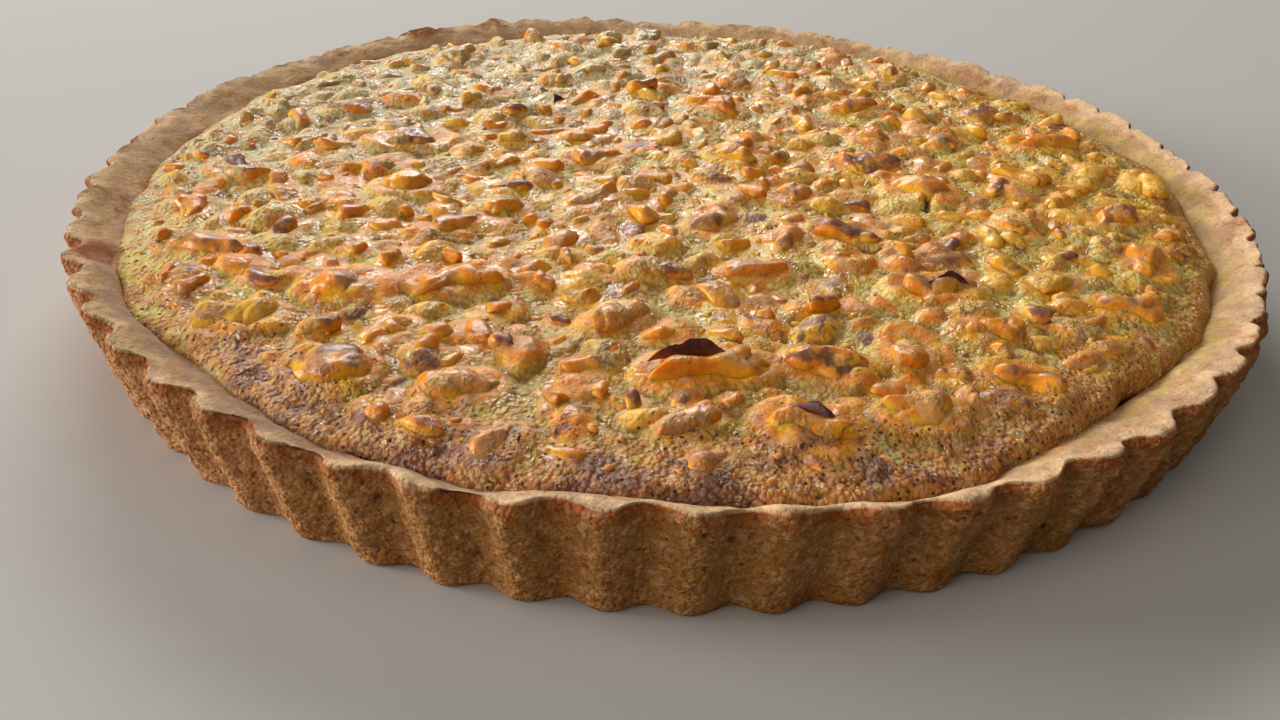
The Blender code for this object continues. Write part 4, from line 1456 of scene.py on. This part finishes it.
def set_camera(settings):
    """The photograph's view: the camera stands in front of the axis, turned by yaw, pitch and roll."""
    yaw, pitch, roll = settings.yaw, settings.pitch, settings.roll
    ahead = Vector((math.sin(yaw) * math.cos(pitch), math.cos(yaw) * math.cos(pitch), -math.sin(pitch)))
    right = Vector((math.cos(yaw), -math.sin(yaw), 0.0))
    up = right.cross(ahead)
    right, up = (math.cos(roll) * right + math.sin(roll) * up, math.cos(roll) * up - math.sin(roll) * right)
    data = bpy.data.cameras.new("view")
    data.lens = settings.lens
    data.sensor_width = 36.0
    data.clip_start, data.clip_end = 0.01, 50.0
    camera = bpy.data.objects.new("view", data)
    camera.matrix_world = Matrix((
        (right.x, up.x, -ahead.x, 0.0),
        (right.y, up.y, -ahead.y, -settings.distance),
        (right.z, up.z, -ahead.z, settings.height),
        (0.0, 0.0, 0.0, 1.0),
    ))
    bpy.context.scene.collection.objects.link(camera)
    bpy.context.scene.camera = camera


def soft_light(name, place, width, height, watts, colour):
    """A rectangular light of that size in metres, turned to the tart."""
    data = bpy.data.lights.new(name, "AREA")
    data.shape, data.size, data.size_y = "RECTANGLE", width, height
    data.energy, data.color = watts, colour
    lamp = bpy.data.objects.new(name, data)
    lamp.location = place
    lamp.rotation_euler = (Vector((0, 0, 0.02)) - Vector(place)).to_track_quat("-Z", "Y").to_euler()
    bpy.context.scene.collection.objects.link(lamp)


def set_lights(settings):
    """Soft windows on the left and behind, weak lights above and in front, and an even surround. The
    picture's colours are shown as they are, with no film-like curve."""
    bpy.context.scene.view_settings.view_transform = "Standard"
    soft_light("side window", (-1.90, 0.00, 0.40), 0.8, 0.7, settings.key, (0.94, 0.97, 1.0))
    soft_light("back window", (-0.45, 1.70, 1.00), 1.2, 0.8, settings.back, (1.0, 0.99, 0.97))
    soft_light("overhead", (0.25, -0.20, 1.30), 0.9, 0.9, settings.overhead, (1.0, 0.98, 0.93))
    soft_light("fill", (-1.45, -1.25, 0.90), 1.2, 1.0, settings.fill, (1.0, 0.94, 0.86))
    world = bpy.data.worlds.new("surround")
    world.use_nodes = True
    inputs = world.node_tree.nodes["Background"].inputs
    inputs["Color"].default_value = (1.0, 0.93, 0.84, 1.0)
    inputs["Strength"].default_value = 0.1
    bpy.context.scene.world = world


def set_floor(settings):
    half = 4000.0
    corners = [(-half, -half, 0), (half, -half, 0), (half, half, 0), (-half, half, 0)]
    floor = put_mesh("floor", corners, [(0, 1, 2, 3)])
    material = Finish("pale floor").done(Base_Color=(*settings.floor, 1.0), Roughness=0.85,
                                         Specular_IOR_Level=0.1)
    floor.data.materials.append(material)


class TART_PT_panel(bpy.types.Panel):
    bl_label = "Walnut tart"
    bl_idname = "TART_PT_panel"
    bl_space_type = "VIEW_3D"
    bl_region_type = "UI"
    bl_category = "Tart"

    def draw(self, context):
        for group, operators in PANEL_ROWS:
            box = self.layout.box()
            settings = getattr(context.scene, group)
            for key in settings.__annotations__:
                box.prop(settings, key)
            for operator in operators:
                box.operator(operator)


PANEL_ROWS = (
    ("tart_crust", ("tart.crust",)),
    ("tart_custard", ("tart.custard",)),
    ("tart_walnuts", ("tart.walnuts", "tart.pieces", "tart.flakes")),
    ("tart_stage", ("tart.stage",)),
)
SETTINGS = {"tart_crust": CrustSettings, "tart_custard": CustardSettings, "tart_walnuts": WalnutSettings,
            "tart_stage": StageSettings}
OTHER_CLASSES = (TART_OT_crust, TART_OT_custard, TART_OT_walnuts, TART_OT_pieces, TART_OT_flakes,
                 TART_OT_stage, TART_PT_panel)


def register():
    for key, settings in SETTINGS.items():
        bpy.utils.register_class(settings)
        setattr(bpy.types.Scene, key, PointerProperty(type=settings))
    for other in OTHER_CLASSES:
        bpy.utils.register_class(other)


def unregister():
    for other in reversed(OTHER_CLASSES):
        bpy.utils.unregister_class(other)
    for key, settings in SETTINGS.items():
        delattr(bpy.types.Scene, key)
        bpy.utils.unregister_class(settings)


def main():
    register()
    bpy.ops.tart.crust()
    bpy.ops.tart.custard()
    bpy.ops.tart.walnuts()
    bpy.ops.tart.pieces()
    bpy.ops.tart.flakes()
    bpy.ops.tart.stage()


if __name__ == "__main__":
    main()
